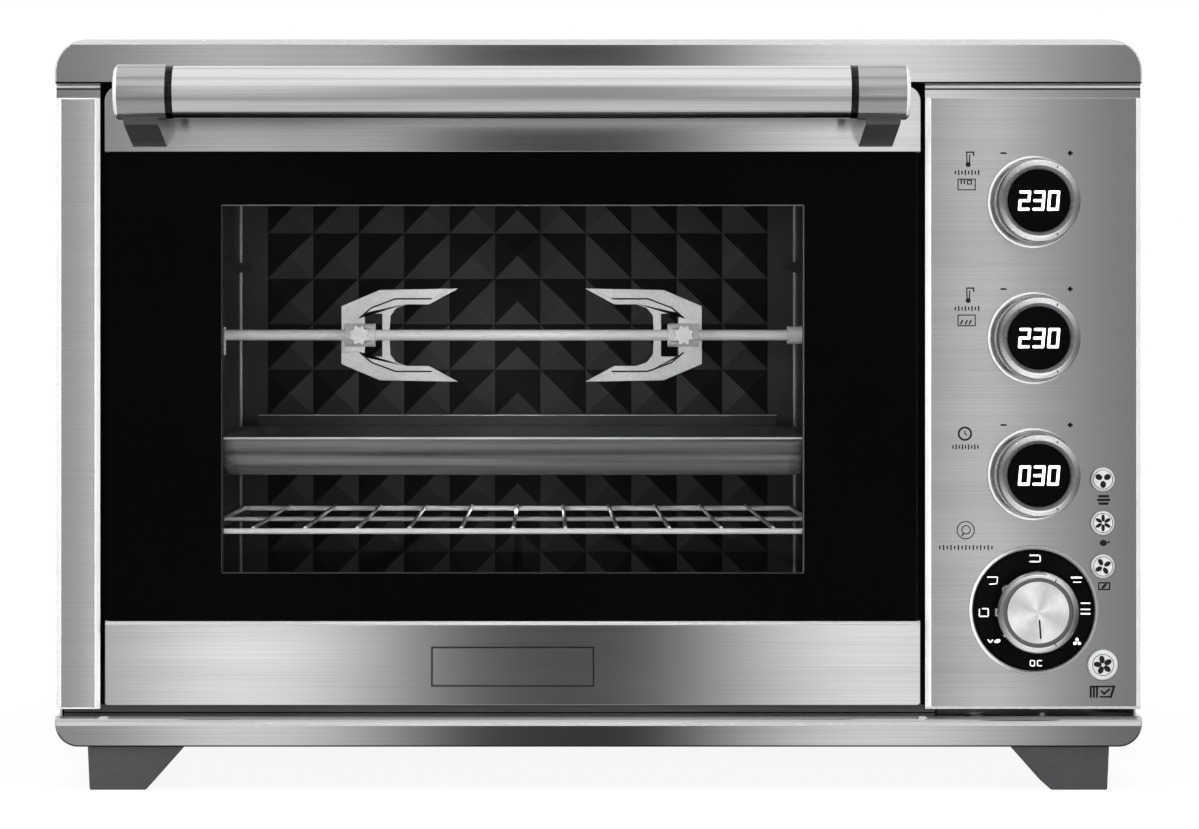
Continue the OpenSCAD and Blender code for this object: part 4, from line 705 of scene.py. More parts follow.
class OVEN_OT_dress_cavity(bpy.types.Operator):
    """Finishes the cavity's walls, heaters, spit, forks, tray, rack and fan."""

    bl_idname = "oven.dress_cavity"
    bl_label = "Dress cavity"

    def execute(self, context):
        wall = copy_of("back_wall", "Cavity coating")
        middle = middle_of("back_wall").x
        # Painted shade: the sides of the pyramids that face up or away from the middle get a duller, darker coating.
        reface(
            wall, "Thin cavity coating",
            lambda centre, normal: normal.y < -0.3
            and (normal.z > 0.1 or normal.x * (centre.x - middle) > 0.1 * abs(centre.x - middle)),
        )
        paint("Cavity coating", "cavity_floor", "cavity_ceiling")
        for node in ("cavity_left_wall", "cavity_right_wall"):
            shade(copy_of(node, "Cavity coating"))
        for node in ("upper_heaters", "lower_heaters"):
            shade(copy_of(node, "Oxidised heater sheath"))
        shade(copy_of("heater_bushings", "Steatite ceramic"))
        for node in ("spit_rod", "left_thumbscrew", "right_thumbscrew"):
            soften(copy_of(node, "Bright-drawn wire"), 0.5 * sizes().sheet_edge)
        for node in ("left_fork", "right_fork"):
            soften(copy_of(node, "Stamped stainless steel"), sizes().sheet_edge)
        soften(copy_of("spit_bracket", "Stamped stainless steel"), 0.5 * sizes().sheet_edge)
        soften(copy_of("spit_drive", "Bright-drawn wire"), sizes().sheet_edge)
        low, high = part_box("baking_tray")
        # Only the rolled front of the tray, this deep, is as pale as its enamel; behind it the tray is given the dark
        # cavity coating, painted shade, and its top edges and front lip a painted highlight.
        rolled = 8 * MM
        tray = copy_of("baking_tray", "Tray enamel")
        soften(tray, sizes().sheet_edge)
        reface(tray, "Cavity coating", lambda centre, normal: centre.y > low.y + rolled)
        reface(
            tray, "Worn enamel edge",
            lambda centre, normal: centre.z > high.z - MM or centre.y < low.y + 0.5 * MM,
        )
        shade(copy_of("wire_rack", "Bright-drawn wire"))
        soften(copy_of("crumb_tray", "Aluminium"), 0.5 * sizes().sheet_edge)
        soften(copy_of("fan_rotor", "Aluminium"), 0.5 * sizes().sheet_edge)
        return {"FINISHED"}


def is_inward(out, normal):
    """Whether a face of a knob leans in towards its axis; out is its place from the axis."""
    return normal.y > -0.95 and out.x * normal.x + out.z * normal.z < 0


class OVEN_OT_dress_controls(bpy.types.Operator):
    """Rounds and plates the knobs, buttons, bezels, dial and displays, and finishes what is behind them."""

    bl_idname = "oven.dress_controls"
    bl_label = "Dress controls"

    def execute(self, context):
        edge = sizes().knob_edge
        # Between these radii lies the inner edge of a knob's front.
        inner, outer = 16.5 * MM, 18.6 * MM
        for node in KNOBS:
            low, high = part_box(node)
            axis = (low + high) / 2
            reach = (high.x - low.x) / 2

            def from_axis(point):
                return math.hypot(point.x - axis.x, point.z - axis.z)

            knob = copy_of(node, "Turned chrome, " + node)
            fold(
                knob, 1.2 * edge,
                lambda a, b: max(a.y, b.y) < low.y + FLUSH
                and inner < min(from_axis(a), from_axis(b)) < outer,
            )
            soften(knob, 0.8 * edge, angle=50)
            reface(knob, "Smoked chrome", lambda centre, normal: abs(normal.y) < 0.3)
            reface(
                knob, "Dim rim",
                lambda centre, normal: is_inward(centre - axis, normal) and normal.y > -0.75
                and from_axis(centre) < 0.95 * reach,
            )
            # The grip has a spun face with a groove round it, at these depths in mm behind its front.
            if node == "function_knob":
                for metal, near, far in (("Spun aluminium", 0.8, 1.8), ("Dim rim", 2, 4)):
                    reface(
                        knob, metal,
                        lambda centre, normal: normal.y < -0.9 and near * MM < centre.y - low.y < far * MM,
                    )
        bezels = copy_of("knob_bezels", "Polished bezel")
        soften(bezels, edge)
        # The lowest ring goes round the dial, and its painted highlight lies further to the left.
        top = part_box("dial_plate")[1].z + 4 * MM
        reface(bezels, "Polished dial ring", lambda centre, normal: centre.z < top)
        soften(copy_of("dial_plate", "Black dial lacquer"), 0.5 * edge)
        soften(copy_of("displays", "Display acrylic"), 0.5 * edge)
        for node in ("lamp_button", "fan_button", "spit_button", "start_button"):
            soften(copy_of(node, "Satin silver paint"), edge)
        paint("Solder-masked board", "display_board", "button_board", "power_board")
        paint("Black moulded plastic", "encoder_rings", "function_switch")
        for node in ("rotisserie_motor", "fan_motor"):
            shade(copy_of(node, "Motor steel"))
        return {"FINISHED"}


class OVEN_OT_fit_trim(bpy.types.Operator):
    """Fits the lines under the cap, the beads and sill, the window's rim, the cavity's seams and the blank plate."""

    bl_idname = "oven.fit_trim"
    bl_label = "Fit trim"

    def execute(self, context):
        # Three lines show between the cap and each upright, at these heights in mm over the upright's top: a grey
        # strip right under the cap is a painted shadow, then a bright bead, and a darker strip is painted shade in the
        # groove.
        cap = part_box("control_fascia")[1].z
        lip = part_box("control_fascia")[0].y + 3 * MM
        for node in ("left_post", "control_fascia"):
            low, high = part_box(node)
            for name, start, end, slot, surface in (
                ("gasket", 6.5, 7.5, "silicone", "Dim rim"),
                ("bead", 5.3, 6.4, "brushed_steel", "Satin bead"),
                ("groove", 4.2, 5.1, "silicone", "Shaded steel"),
            ):
                strip(
                    node + "_reveal_" + name, (low.x, lip - 0.3 * MM, cap + start * MM),
                    (high.x, lip + 0.1 * MM, cap + end * MM), "cabinet", surface,
                )
        low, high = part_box("control_fascia")
        bead("fascia_foot_bead", "control_fascia", 0.4, low.z + 0.1 * MM, low.z + 1.4 * MM)
        low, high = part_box("rear_panel")
        strip(
            "rating_plate", (-70 * MM, high.y - 0.1 * MM, low.z + 60 * MM),
            (14 * MM, high.y + 0.5 * MM, low.z + 104 * MM), "cabinet", "Aluminium",
        )
        rail_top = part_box("base_rail")[1].z
        bead("base_rail_bead", "base_rail", 0.6, rail_top - 4.7 * MM, rail_top - 4.7 * MM + sizes().rail_bead)
        low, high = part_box("front_frame")
        door_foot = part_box("door_bottom_rail")[0].z
        # The sill in the slot under the door is dark steel, painted shade.
        strip(
            "door_sill", (low.x + MM, low.y - 0.25 * MM, rail_top + 0.3 * MM),
            (high.x - MM, low.y + 0.1 * MM, door_foot - 0.6 * MM), "cabinet", "Blackened sill steel",
        )
        # The window's corners are the inner ones of the printed border.
        frame_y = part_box("glass_backing_frame")[0].y
        corners = [
            p.co for p in frame["nodes"]["glass_backing_frame"].data.vertices
            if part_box("door_bottom_rail")[1].z + 15 * MM < p.co.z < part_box("door_top_rail")[0].z - 15 * MM
        ]
        middle = sum(corners, Vector()) / len(corners)
        left = max(p.x for p in corners if p.x < middle.x)
        right = min(p.x for p in corners if p.x > middle.x)
        foot = max(p.z for p in corners if p.z < middle.z)
        top = min(p.z for p in corners if p.z > middle.z)
        # The rim's lines are painted light and shade: lighter grey along the top and right, darker along the foot and
        # left.
        for name, start, end, rim in (
            ("top", (left, top - 0.7 * MM), (right, top), "Dim rim"),
            ("foot", (left, foot), (right, foot + 0.4 * MM), "Blackened sill steel"),
            ("left", (left, foot), (left + 0.4 * MM, top), "Blackened sill steel"),
            ("right", (right - 0.6 * MM, foot), (right, top), "Dim rim"),
        ):
            strip(
                "window_rim_" + name, (start[0], frame_y + 0.1 * MM, start[1]),
                (end[0], frame_y + 0.6 * MM, end[1]), "door", rim,
            )
        low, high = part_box("back_wall")
        for name, x in (("left", low.x + 1 * MM), ("right", high.x - 2.6 * MM)):
            strip(
                "cavity_seam_" + name, (x, high.y - 2.6 * MM, low.z + 1 * MM),
                (x + 1.6 * MM, high.y - 1 * MM, high.z - 1 * MM), "cabinet", "Seam bead",
            )
        return {"FINISHED"}


def place_copies(piece, spots):
    """Copies a piece to more spots and joins the copies into it, with its own place left at the origin."""
    pieces = [piece]
    take(piece)
    bpy.ops.transform.translate(value=spots[0])
    for spot in spots[1:]:
        take(piece)
        bpy.ops.object.duplicate()
        bpy.ops.transform.translate(value=spot - spots[0])
        pieces.append(bpy.context.active_object)
    take(*pieces)
    bpy.ops.object.join()
    bpy.ops.object.transform_apply(location=True, rotation=True, scale=True)


class OVEN_OT_drive_screws(bpy.types.Operator):
    """Drives pan-head screws with a cross recess into the rear panel and the base pan."""

    bl_idname = "oven.drive_screws"
    bl_label = "Drive screws"

    def execute(self, context):
        low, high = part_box("rear_panel")
        foot, top = low.z + 14 * MM, high.z - 12 * MM
        rear = [
            Vector((x, high.y, z))
            for z in (foot, (foot + top) / 2, top) for x in (low.x + 9 * MM, high.x - 9 * MM)
        ] + [Vector((x, high.y, z)) for z in (foot, top) for x in (-95 * MM, 95 * MM)]
        low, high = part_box("base_pan")
        pan = [
            Vector((x, y, low.z)) for y in (low.y + 12 * MM, high.y - 12 * MM) for x in (-170 * MM, 0.0, 170 * MM)
        ]
        for name, spots, turn in (("rear_screws", rear, 90), ("base_screws", pan, 180)):
            radius = sizes().screw_head / 2
            rise = radius / 2
            deselect_all()
            bpy.ops.mesh.primitive_cylinder_add(vertices=28, radius=radius, depth=rise, location=(0, 0, rise / 2))
            screw = context.active_object
            screw.name = name
            fold(screw, 0.3 * radius, lambda a, b: min(a.z, b.z) > 0)
            for way in (0, 90):
                bpy.ops.object.select_all(action="DESELECT")
                bpy.ops.mesh.primitive_cube_add(size=1, location=(0, 0, rise), rotation=(0, 0, math.radians(way)))
                blade = context.active_object
                blade.scale = (1.1 * radius, 0.26 * radius, rise)
                cut = screw.modifiers.new("recess", "BOOLEAN")
                cut.operation = "DIFFERENCE"
                cut.object = blade
                apply_modifiers(screw)
                bpy.data.objects.remove(blade)
            screw.data.materials.append(made_of("Chrome plate"))
            shade(screw)
            take(screw)
            bpy.ops.object.transform_apply(location=True, rotation=True, scale=True)
            bpy.ops.object.mode_set(mode="EDIT")
            bpy.ops.mesh.select_all(action="SELECT")
            bpy.ops.transform.rotate(value=math.radians(turn), orient_axis="X", center_override=(0, 0, 0))
            bpy.ops.object.mode_set(mode="OBJECT")
            place_copies(screw, spots)
            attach(screw, "cabinet")
        return {"FINISHED"}


class OVEN_OT_paint_fork_rib_shadows(bpy.types.Operator):
    """Draws dark lines beside the ribs of the spit's forks: painted shadow along the ribs' edges."""

    bl_idname = "oven.crease_forks"
    bl_label = "Crease forks"

    def execute(self, context):
        rod = middle_of("spit_rod")
        # Where the painted shadow runs beside a rib, in mm from the fork's back and up from the rod.
        rib_shadow = ((50.0, 20.2), (30.1, 20.2), (16.8, 15.2), (10.4, 9.8))
        for node, way in (("left_fork", 1), ("right_fork", -1)):
            low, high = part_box(node)
            spot = Vector((low.x if way > 0 else high.x, rod.y - 1.2 * MM - sizes().ink / 2, rod.z))
            rib_shadows = begin(node + "_creases")
            for rise in (-1, 1):
                line(spot, 0.8, *((way * x, rise * z) for x, z in rib_shadow))
            end_marks(rib_shadows, BODY_OF[node], "Shaded steel")
        return {"FINISHED"}


def begin(name):
    """Starts a piece at the origin as an empty mesh in edit mode, for flat shapes to be drawn into."""
    deselect_all()
    bpy.ops.mesh.primitive_plane_add(size=MM)
    piece = bpy.context.active_object
    piece.name = name
    bpy.ops.object.mode_set(mode="EDIT")
    bpy.ops.mesh.delete(type="VERT")
    return piece


def front_of(spot, centre):
    """A point given in mm across and up from a spot."""
    return spot + Vector((centre[0], 0, centre[1])) * MM


def shape(spot, centre, size, tilt):
    """Gives the shape just drawn its size in mm across and up, then tilts it by an angle in degrees."""
    middle = front_of(spot, centre)
    bpy.ops.transform.resize(value=(size[0], 1, size[1]), center_override=middle)
    bpy.ops.transform.rotate(value=math.radians(tilt), orient_axis="Y", center_override=middle)


def bar(spot, start, end, width):
    """Draws a bar with rounded ends between two points across and up from a spot, in mm, facing the front."""
    across, up = end[0] - start[0], end[1] - start[1]
    centre = (start[0] + across / 2, start[1] + up / 2)
    bpy.ops.mesh.primitive_plane_add(
        size=MM, location=front_of(spot, centre), rotation=(math.radians(90), 0, 0)
    )
    shape(spot, centre, (math.hypot(across, up) + width, width), math.degrees(math.atan2(up, across)))
    bpy.ops.mesh.bevel(offset=0.4 * width * MM, segments=3, affect="VERTICES")


def line(spot, width, *points):
    """Draws bars of one width in mm from point to point."""
    for start, end in zip(points, points[1:]):
        bar(spot, start, end, width)


def disc(spot, centre, across, up=None, tilt=0):
    """Draws a filled disc or oval, its two radii and its centre in mm, its tilt in degrees."""
    bpy.ops.mesh.primitive_circle_add(
        vertices=20, radius=MM, fill_type="NGON", location=front_of(spot, centre),
        rotation=(math.radians(90), 0, 0),
    )
    shape(spot, centre, (across, up or across), tilt)


def ring(spot, centre, radius, width):
    """Draws a ring of the given outer radius and width in mm."""
    middle = front_of(spot, centre)
    bpy.ops.mesh.primitive_circle_add(
        vertices=40, radius=radius * MM, location=middle, rotation=(math.radians(90), 0, 0)
    )
    bpy.ops.mesh.extrude_edges_indiv()
    share = 1 - width / radius
    bpy.ops.transform.resize(value=(share, 1, share), center_override=middle)


def outline(spot, low, high, width):
    """Draws the four sides of a box between two corners."""
    line(spot, width, low, (high[0], low[1]), high, (low[0], high[1]), low)


def petals(spot, centre, count, reach, across, turn=90):
    """Draws ovals round a centre like the blades of a small fan."""
    for i in range(count):
        angle = turn + 360 * i / count
        place = (centre[0] + 0.58 * reach * math.cos(math.radians(angle)),
                 centre[1] + 0.58 * reach * math.sin(math.radians(angle)))
        disc(spot, place, 0.42 * reach, across, angle)


def end_marks(piece, body, surface):
    """Closes a piece of flat shapes: gives it the height of ink, its finish and the body that it rides on."""
    bpy.ops.object.mode_set(mode="OBJECT")
    ink = piece.modifiers.new("ink", "SOLIDIFY")
    ink.thickness = sizes().ink
    ink.offset = 0
    apply_modifiers(piece)
    bpy.ops.object.mode_set(mode="EDIT")
    bpy.ops.mesh.select_all(action="SELECT")
    bpy.ops.mesh.normals_make_consistent(inside=False)
    bpy.ops.object.mode_set(mode="OBJECT")
    piece.data.materials.append(made_of(surface))
    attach(piece, body)


def scale(spot, span, rise, count):
    """Draws a row of upright ticks, every other one short, between two places across."""
    for i in range(count):
        x = span[0] + (span[1] - span[0]) * i / (count - 1)
        half = 1.0 if i % 2 else 0.6
        bar(spot, (x, rise - half), (x, rise + half), 0.7)


def before(node, face):
    """The middle of a node as seen from the front, half an ink's height before a face."""
    low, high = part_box(node)
    return Vector(((low.x + high.x) / 2, face - sizes().ink / 2, (low.z + high.z) / 2))


class OVEN_OT_print_panel(bpy.types.Operator):
    """Prints the dark signs on the control panel: minus and plus, pictograms and plain scales."""

    bl_idname = "oven.print_panel"
    bl_label = "Print panel"

    def execute(self, context):
        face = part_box("control_fascia")[0].y
        marks = begin("panel_marks")
        for knob in DISPLAY_KNOBS:
            spot = before(knob, face)
            bar(spot, (-16.6, 25.3), (-14.2, 25.3), 0.9)
            bar(spot, (18.1, 25.3), (19.7, 25.3), 1.1)
            bar(spot, (18.9, 24.5), (18.9, 26.1), 1.1)
        for knob in ("upper_heat_knob", "lower_heat_knob"):
            spot = before(knob, face)
            line(spot, 0.7, (-34.4, 25.8), (-30.8, 25.8), (-30.8, 24.2))
            bar(spot, (-34.4, 25.8), (-34.2, 20.4), 0.6)
            bar(spot, (-32.8, 24.4), (-33.0, 20.4), 0.6)
            disc(spot, (-33.6, 19.4), 1.3)
            scale(spot, (-40.2, -28.2), 15.3, 8)
            outline(spot, (-38.8, 6.4), (-30.0, 11.9), 0.55)
        spot = before("upper_heat_knob", face)
        for x in (-37.2, -35.6):
            bar(spot, (x, 9.8), (x, 11.4), 0.8)
        outline(spot, (-34.0, 9.4), (-31.9, 11.2), 0.6)
        spot = before("lower_heat_knob", face)
        for x in (-37.0, -34.6, -32.6):
            bar(spot, (x - 0.4, 7.4), (x + 0.4, 9.0), 0.8)
        spot = before("timer_knob", face)
        ring(spot, (-35.3, 20.8), 3.7, 1.0)
        bar(spot, (-35.3, 20.8), (-35.3, 22.2), 0.6)
        bar(spot, (-35.3, 20.8), (-34.4, 20.2), 0.6)
        scale(spot, (-41.4, -28.6), 14.0, 9)
        spot = before("function_knob", face)
        ring(spot, (-34.9, 41.1), 4.7, 0.5)
        ring(spot, (-34.7, 41.3), 2.4, 0.5)
        bar(spot, (-35.9, 39.4), (-36.9, 38.2), 0.6)
        scale(spot, (-48.2, -21.4), 32.2, 15)
        spot = before("lamp_button", face)
        for rise, half in ((-8.7, 2.2), (-10.6, 2.8), (-12.5, 2.0)):
            bar(spot, (0.6 - half, rise), (0.6 + half, rise), 1.3)
        spot = before("fan_button", face)
        disc(spot, (0.5, -10.4), 1.9, 1.6)
        disc(spot, (3.3, -10.0), 0.6)
        spot = before("spit_button", face)
        outline(spot, (-1.9, -12.0), (3.7, -8.6), 0.7)
        disc(spot, (0.9, -10.3), 1.8, 0.7, 45)
        spot = before("start_button", face)
        for x in (-6.0, -4.4, -2.8):
            bar(spot, (x, -16.6), (x, -11.8), 1.1)
        bar(spot, (-6.0, -11.3), (6.0, -11.3), 0.9)
        bar(spot, (6.0, -11.3), (4.4, -16.6), 1.2)
        bar(spot, (-1.0, -16.6), (4.4, -16.6), 0.9)
        line(spot, 1.0, (-0.4, -13.8), (0.9, -15.0), (3.6, -12.8))
        end_marks(marks, "cabinet", "Dark ink")
        return {"FINISHED"}


class OVEN_OT_print_dial(bpy.types.Operator):
    """Prints eight small cooking signs round the dial plate."""

    bl_idname = "oven.print_dial"
    bl_label = "Print dial"

    def execute(self, context):
        spot = before("function_knob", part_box("dial_plate")[0].y + 0.6 * MM)
        marks = begin("dial_marks")
        for strokes, width in (
            (((-1.8, 28.2), (3.3, 28.2), (3.3, 25.0), (-1.8, 25.0)), 0.7),
            (((19.4, 16.8), (24.6, 16.8)), 0.8),
            (((20.4, 14.4), (24.2, 14.4)), 0.4),
            (((24.4, 3.6), (28.8, 3.6)), 0.6),
            (((24.4, 0.4), (28.8, 0.4)), 0.6),
            (((24.4, -1.8), (28.8, -1.8)), 0.7),
            (((-1.8, -28.6), (0.4, -28.6), (0.4, -25.9), (-1.8, -25.9), (-1.8, -28.6)), 0.5),
            (((4.0, -25.9), (1.9, -25.9), (1.9, -28.6), (4.0, -28.6)), 0.5),
            (((-23.4, -15.4), (-22.3, -16.8), (-21.2, -15.4)), 0.7),
            (((-26.4, 0.8), (-23.4, 0.8), (-23.4, -3.2), (-28.0, -3.2), (-28.0, 0.4)), 0.6),
            (((-23.8, 17.0), (-18.6, 17.0), (-19.0, 13.6), (-22.6, 13.4)), 0.5),
        ):
            line(spot, width, *strokes)
        petals(spot, (22.3, -16.4), 3, 2.2, 0.8)
        disc(spot, (-18.7, -15.9), 1.6, 0.9, 20)
        end_marks(marks, "cabinet", "Pale ink")
        return {"FINISHED"}


class OVEN_OT_light_figures(bpy.types.Operator):
    """Lights three slanted figures on each of the round displays."""

    bl_idname = "oven.light_figures"
    bl_label = "Light figures"

    def execute(self, context):
        detail = sizes()
        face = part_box("displays")[0].y
        half_w, half_h = detail.digit_width / MM / 2, detail.digit_height / MM / 2
        stroke = detail.digit_stroke / MM
        slant = math.tan(math.radians(5))
        corners = {
            (i, j): (i * half_w + slant * j * half_h, j * half_h) for i in (-1, 1) for j in (-1, 0, 1)
        }
        for knob, figures in zip(DISPLAY_KNOBS, ("230", "230", "030")):
            marks = begin(knob + "_figures")
            for place, figure in enumerate(figures):
                spot = before(knob, face) + Vector(((place - 1) * detail.digit_pitch, 0, 0))
                for ends in FIGURES[figure]:
                    bar(spot, corners[ends[0]], corners[ends[1]], stroke)
            end_marks(marks, "cabinet", "Lit figure")
        return {"FINISHED"}


class OVEN_OT_mark_knobs(bpy.types.Operator):
    """Marks the knobs' rings and the buttons' faces; each mark moves with its knob or button."""

    bl_idname = "oven.mark_knobs"
    bl_label = "Mark knobs"

    def execute(self, context):
        for knob, low, high in (*((knob, 18.8, 19.8) for knob in DISPLAY_KNOBS), ("function_knob", 18.0, 19.0)):
            spot = before(knob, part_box(knob)[0].y)
            marks = begin(knob + "_marks")
            for angle in (math.radians(-62), math.radians(62)):
                line(spot, 0.5, *((reach * math.cos(angle), reach * math.sin(angle)) for reach in (low, high)))
            if knob == "function_knob":
                dish = spot + Vector((0, 1.2 * MM, 0))
                bar(dish, (0.5, -4.0), (1.2, -13.0), 0.9)
            end_marks(marks, BODY_OF[knob], "Dark ink")
        for button, blades, reach, across in (
            ("lamp_button", 3, 4.4, 1.5), ("fan_button", 6, 4.4, 0.9), ("spit_button", 4, 4.4, 1.2),
            ("start_button", 5, 4.9, 1.4),
        ):
            spot = before(button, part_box(button)[0].y)
            marks = begin(button + "_marks")
            petals(spot, (0, 0), blades, reach, across, 30)
            ring(spot, (0, 0), reach + 0.7, 0.3)
            end_marks(marks, BODY_OF[button], "Dark ink")
        return {"FINISHED"}


# What metal reflects, as places and brightness: the cards beside the lens from left to right, as the sine of the
# angle, and the walls from the floor up, as the height of the direction.
CARD_LEVELS = ((-0.125, 0.37), (-0.08, 1.0), (-0.012, 0.06), (0.02, 0.04), (0.085, 1.0), (0.15, 0.2))
WALL_LEVELS = ((-0.78, 0.6), (-0.5, 0.3), (-0.15, 0.55), (0.25, 1.0), (0.74, 0.9), (0.85, 0.6), (0.92, 0.95))


def studio_world():
    """White to the camera; to metal, a pale room with the lens in a dark gap between two white cards."""
    world = bpy.data.worlds.new("Studio")
    bpy.context.scene.world = world
    world.use_nodes = True
    tree = world.node_tree
    paths = add_node(tree, "LightPath").outputs
    way = add_node(tree, "TexCoord").outputs["Generated"]
    axes = add_node(tree, "SeparateXYZ", links={"Vector": way}).outputs
    across = add_node(tree, "MapRange", values={"From Min": -0.25, "From Max": 0.25}, links={"Value": axes["X"]})
    cards = add_node(tree, "ValToRGB", links={"Fac": across.outputs[0]})
    cards.color_ramp.interpolation = "EASE"
    cards.color_ramp.elements[0].color = (0.4, 0.4, 0.4, 1)
    cards.color_ramp.elements[1].color = (0.4, 0.4, 0.4, 1)
    for place, level in CARD_LEVELS:
        cards.color_ramp.elements.new(0.5 + 2 * place).color = (level, level, level, 1)
    rise = add_node(tree, "MapRange", values={"From Min": -1.0}, links={"Value": axes["Z"]})
    height = add_node(tree, "ValToRGB", links={"Fac": rise.outputs[0]})
    height.color_ramp.elements[0].color = (0.6, 0.6, 0.6, 1)
    height.color_ramp.elements[1].color = (0.95, 0.95, 0.95, 1)
    for place, level in WALL_LEVELS:
        height.color_ramp.elements.new(0.5 + place / 2).color = (level, level, level, 1)
    beside = add_node(
        tree, "MapRange", {"interpolation_type": "SMOOTHSTEP"},
        {"From Min": 0.0, "From Max": 0.9, "To Min": 1.0, "To Max": 0.4}, {"Value": axes["X"]},
    )
    walls = add_node(
        tree, "Math", {"operation": "MULTIPLY"}, links={0: height.outputs["Color"], 1: beside.outputs[0]}
    )
    aside = add_node(
        tree, "MapRange", {"interpolation_type": "SMOOTHSTEP"}, {"From Min": -0.96, "From Max": -0.85},
        {"Value": axes["Y"]},
    )
    room = add_node(
        tree, "Mix", links={"Factor": aside.outputs[0], "A": cards.outputs["Color"], "B": walls.outputs[0]}
    )
    sharp = add_node(
        tree, "Math", {"operation": "MAXIMUM"},
        links={0: paths["Is Glossy Ray"], 1: paths["Is Transmission Ray"]},
    )
    lit = add_node(
        tree, "Mix", values={"A": studio().fill}, links={"Factor": sharp.outputs[0], "B": room.outputs["Result"]}
    )
    seen = add_node(
        tree, "Mix", values={"B": 1.0}, links={"Factor": paths["Is Camera Ray"], "A": lit.outputs["Result"]}
    )
    tree.links.new(seen.outputs["Result"], tree.nodes["Background"].inputs["Color"])


def seamless_paper():
    """White studio paper, which takes the oven's shadow and melts into the white behind it further out."""
    material, tree, shader, place = new_material("Seamless paper", {"Roughness": 0.9})
    fibres = add_node(tree, "TexNoise", values={"Scale": 1 / (2 * MM)}, links={"Vector": place})
    tint = add_node(
        tree, "Mix", {"data_type": "RGBA"}, {COLOUR_A: linear("#f1f1f1"), COLOUR_B: linear("#f8f8f8")},
        {"Factor": fibres.outputs["Fac"]},
    )
    tree.links.new(tint.outputs[COLOUR_OUT], shader.inputs["Base Color"])
    paths = add_node(tree, "LightPath").outputs
    reach = add_node(tree, "VectorMath", {"operation": "LENGTH"}, links={0: place})
    melt = add_node(
        tree, "MapRange", {"interpolation_type": "SMOOTHSTEP"},
        {"From Min": 0.25, "From Max": 0.6, "To Min": 0.9, "To Max": 1.0}, {"Value": reach.outputs["Value"]},
    )
    share = add_node(
        tree, "Math", {"operation": "MULTIPLY"}, links={0: paths["Is Camera Ray"], 1: melt.outputs[0]}
    )
    white = add_node(tree, "Emission")
    mixed = add_node(
        tree, "MixShader", links={0: share.outputs[0], 1: shader.outputs["BSDF"], 2: white.outputs[0]}
    )
    tree.links.new(mixed.outputs[0], tree.nodes["Material Output"].inputs["Surface"])
    return material


def set_lamp(name, power):
    """Names the lamp just added, sets its power, and hides it from the camera and from reflections."""
    lamp = bpy.context.active_object
    lamp.name = "lamp_" + name
    lamp.data.energy = power
    lamp.visible_camera = False
    lamp.visible_glossy = False
    return lamp


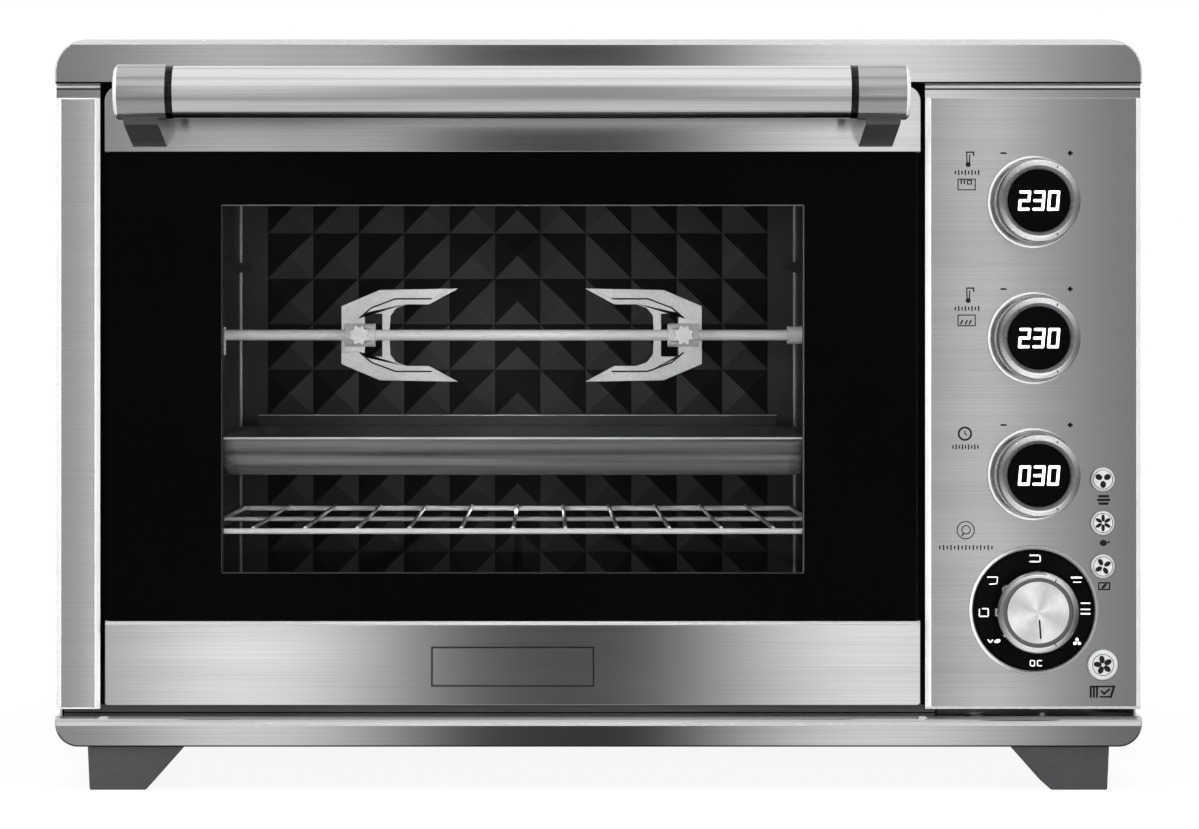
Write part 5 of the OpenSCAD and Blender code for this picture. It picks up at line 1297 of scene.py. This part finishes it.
class OVEN_OT_set_stage(bpy.types.Operator):
    """Sets the floor, the soft lamps, the world and the camera at the photograph's viewing angle."""

    bl_idname = "oven.set_stage"
    bl_label = "Set stage"

    def execute(self, context):
        deselect_all()
        bpy.ops.mesh.primitive_plane_add(size=14)
        floor = context.active_object
        floor.name = "studio_floor"
        floor.data.materials.append(seamless_paper())
        floor.visible_glossy = False
        # Each lamp's place and size in metres, and its power.
        lamps = (
            ("left", (-1.7, -1.7, 1.5), 1.5, studio().side_power),
            ("right", (1.8, -1.5, 1.2), 1.3, studio().side_power),
            ("top", (0.0, -0.5, 2.1), 1.8, studio().top_power),
            ("front", (-0.03, -2.2, 0.2), 0.4, studio().front_power),
        )
        low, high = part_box("back_wall")
        middle = (low.x + high.x) / 2
        for name, place, size, power in lamps:
            aim = LAMP_TARGET - Vector(place)
            bpy.ops.object.light_add(
                type="AREA", radius=size, location=place, rotation=aim.to_track_quat("-Z", "Y").to_euler()
            )
            set_lamp(name, power).data.size = size
        for name, depth, height, share in (
            ("high", 0.05, 0.215, 1.0), ("low", 0.05, 0.15, 0.4), ("front", -0.1, 0.26, 0.22),
        ):
            bpy.ops.object.light_add(type="POINT", radius=0.01, location=(middle, depth, height))
            set_lamp("cavity_" + name, share * studio().cavity_power)
        studio_world()
        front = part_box("control_fascia")[0].y
        pixel = studio().pixel
        ground = PHOTO_GROUND[1] - PHOTO_AXIS[1]
        place = (
            (PHOTO_AXIS[0] - PHOTO_GROUND[0]) * pixel, front - studio().camera_distance, ground * pixel
        )
        bpy.ops.object.camera_add(location=place, rotation=(math.radians(90), 0, 0))
        camera = context.active_object
        camera.data.lens = camera.data.sensor_width * studio().camera_distance / (PHOTO_WIDTH * pixel)
        camera.data.shift_x = 0.5 - PHOTO_AXIS[0] / PHOTO_WIDTH
        camera.data.shift_y = (PHOTO_AXIS[1] - 0.5 * PHOTO_HEIGHT) / PHOTO_WIDTH
        context.scene.camera = camera
        context.scene.view_settings.view_transform = "Standard"
        return {"FINISHED"}


class OVEN_PT_dressing(bpy.types.Panel):
    """Lists the dressing steps and the values that they use."""

    bl_idname = "OVEN_PT_dressing"
    bl_label = "Countertop Oven"
    bl_space_type = "VIEW_3D"
    bl_region_type = "UI"
    bl_category = "Oven"

    def draw(self, context):
        for group in (context.scene.oven_sizes, context.scene.oven_colours, context.scene.oven_studio):
            box = self.layout.box()
            for name in group.__annotations__:
                box.prop(group, name)
        for step in STEPS:
            self.layout.operator(step.bl_idname)


STEPS = (
    OVEN_OT_make_finishes,
    OVEN_OT_dress_cabinet,
    OVEN_OT_dress_door,
    OVEN_OT_dress_handle,
    OVEN_OT_dress_cavity,
    OVEN_OT_dress_controls,
    OVEN_OT_fit_trim,
    OVEN_OT_drive_screws,
    OVEN_OT_paint_fork_rib_shadows,
    OVEN_OT_print_panel,
    OVEN_OT_print_dial,
    OVEN_OT_light_figures,
    OVEN_OT_mark_knobs,
    OVEN_OT_set_stage,
)
CLASSES = (OvenSizes, OvenColours, OvenStudio, *STEPS, OVEN_PT_dressing)


def register():
    """Registers the classes and hangs their settings on the scene."""
    for kind in CLASSES:
        bpy.utils.register_class(kind)
    bpy.types.Scene.oven_sizes = PointerProperty(type=OvenSizes)
    bpy.types.Scene.oven_colours = PointerProperty(type=OvenColours)
    bpy.types.Scene.oven_studio = PointerProperty(type=OvenStudio)


def unregister():
    """Takes the settings off the scene and unregisters the classes."""
    del bpy.types.Scene.oven_sizes
    del bpy.types.Scene.oven_colours
    del bpy.types.Scene.oven_studio
    for kind in reversed(CLASSES):
        bpy.utils.unregister_class(kind)


def main():
    """Runs every step in order."""
    register()
    for step in STEPS:
        group, name = step.bl_idname.split(".")
        getattr(getattr(bpy.ops, group), name)()


if __name__ == "__main__":
    main()
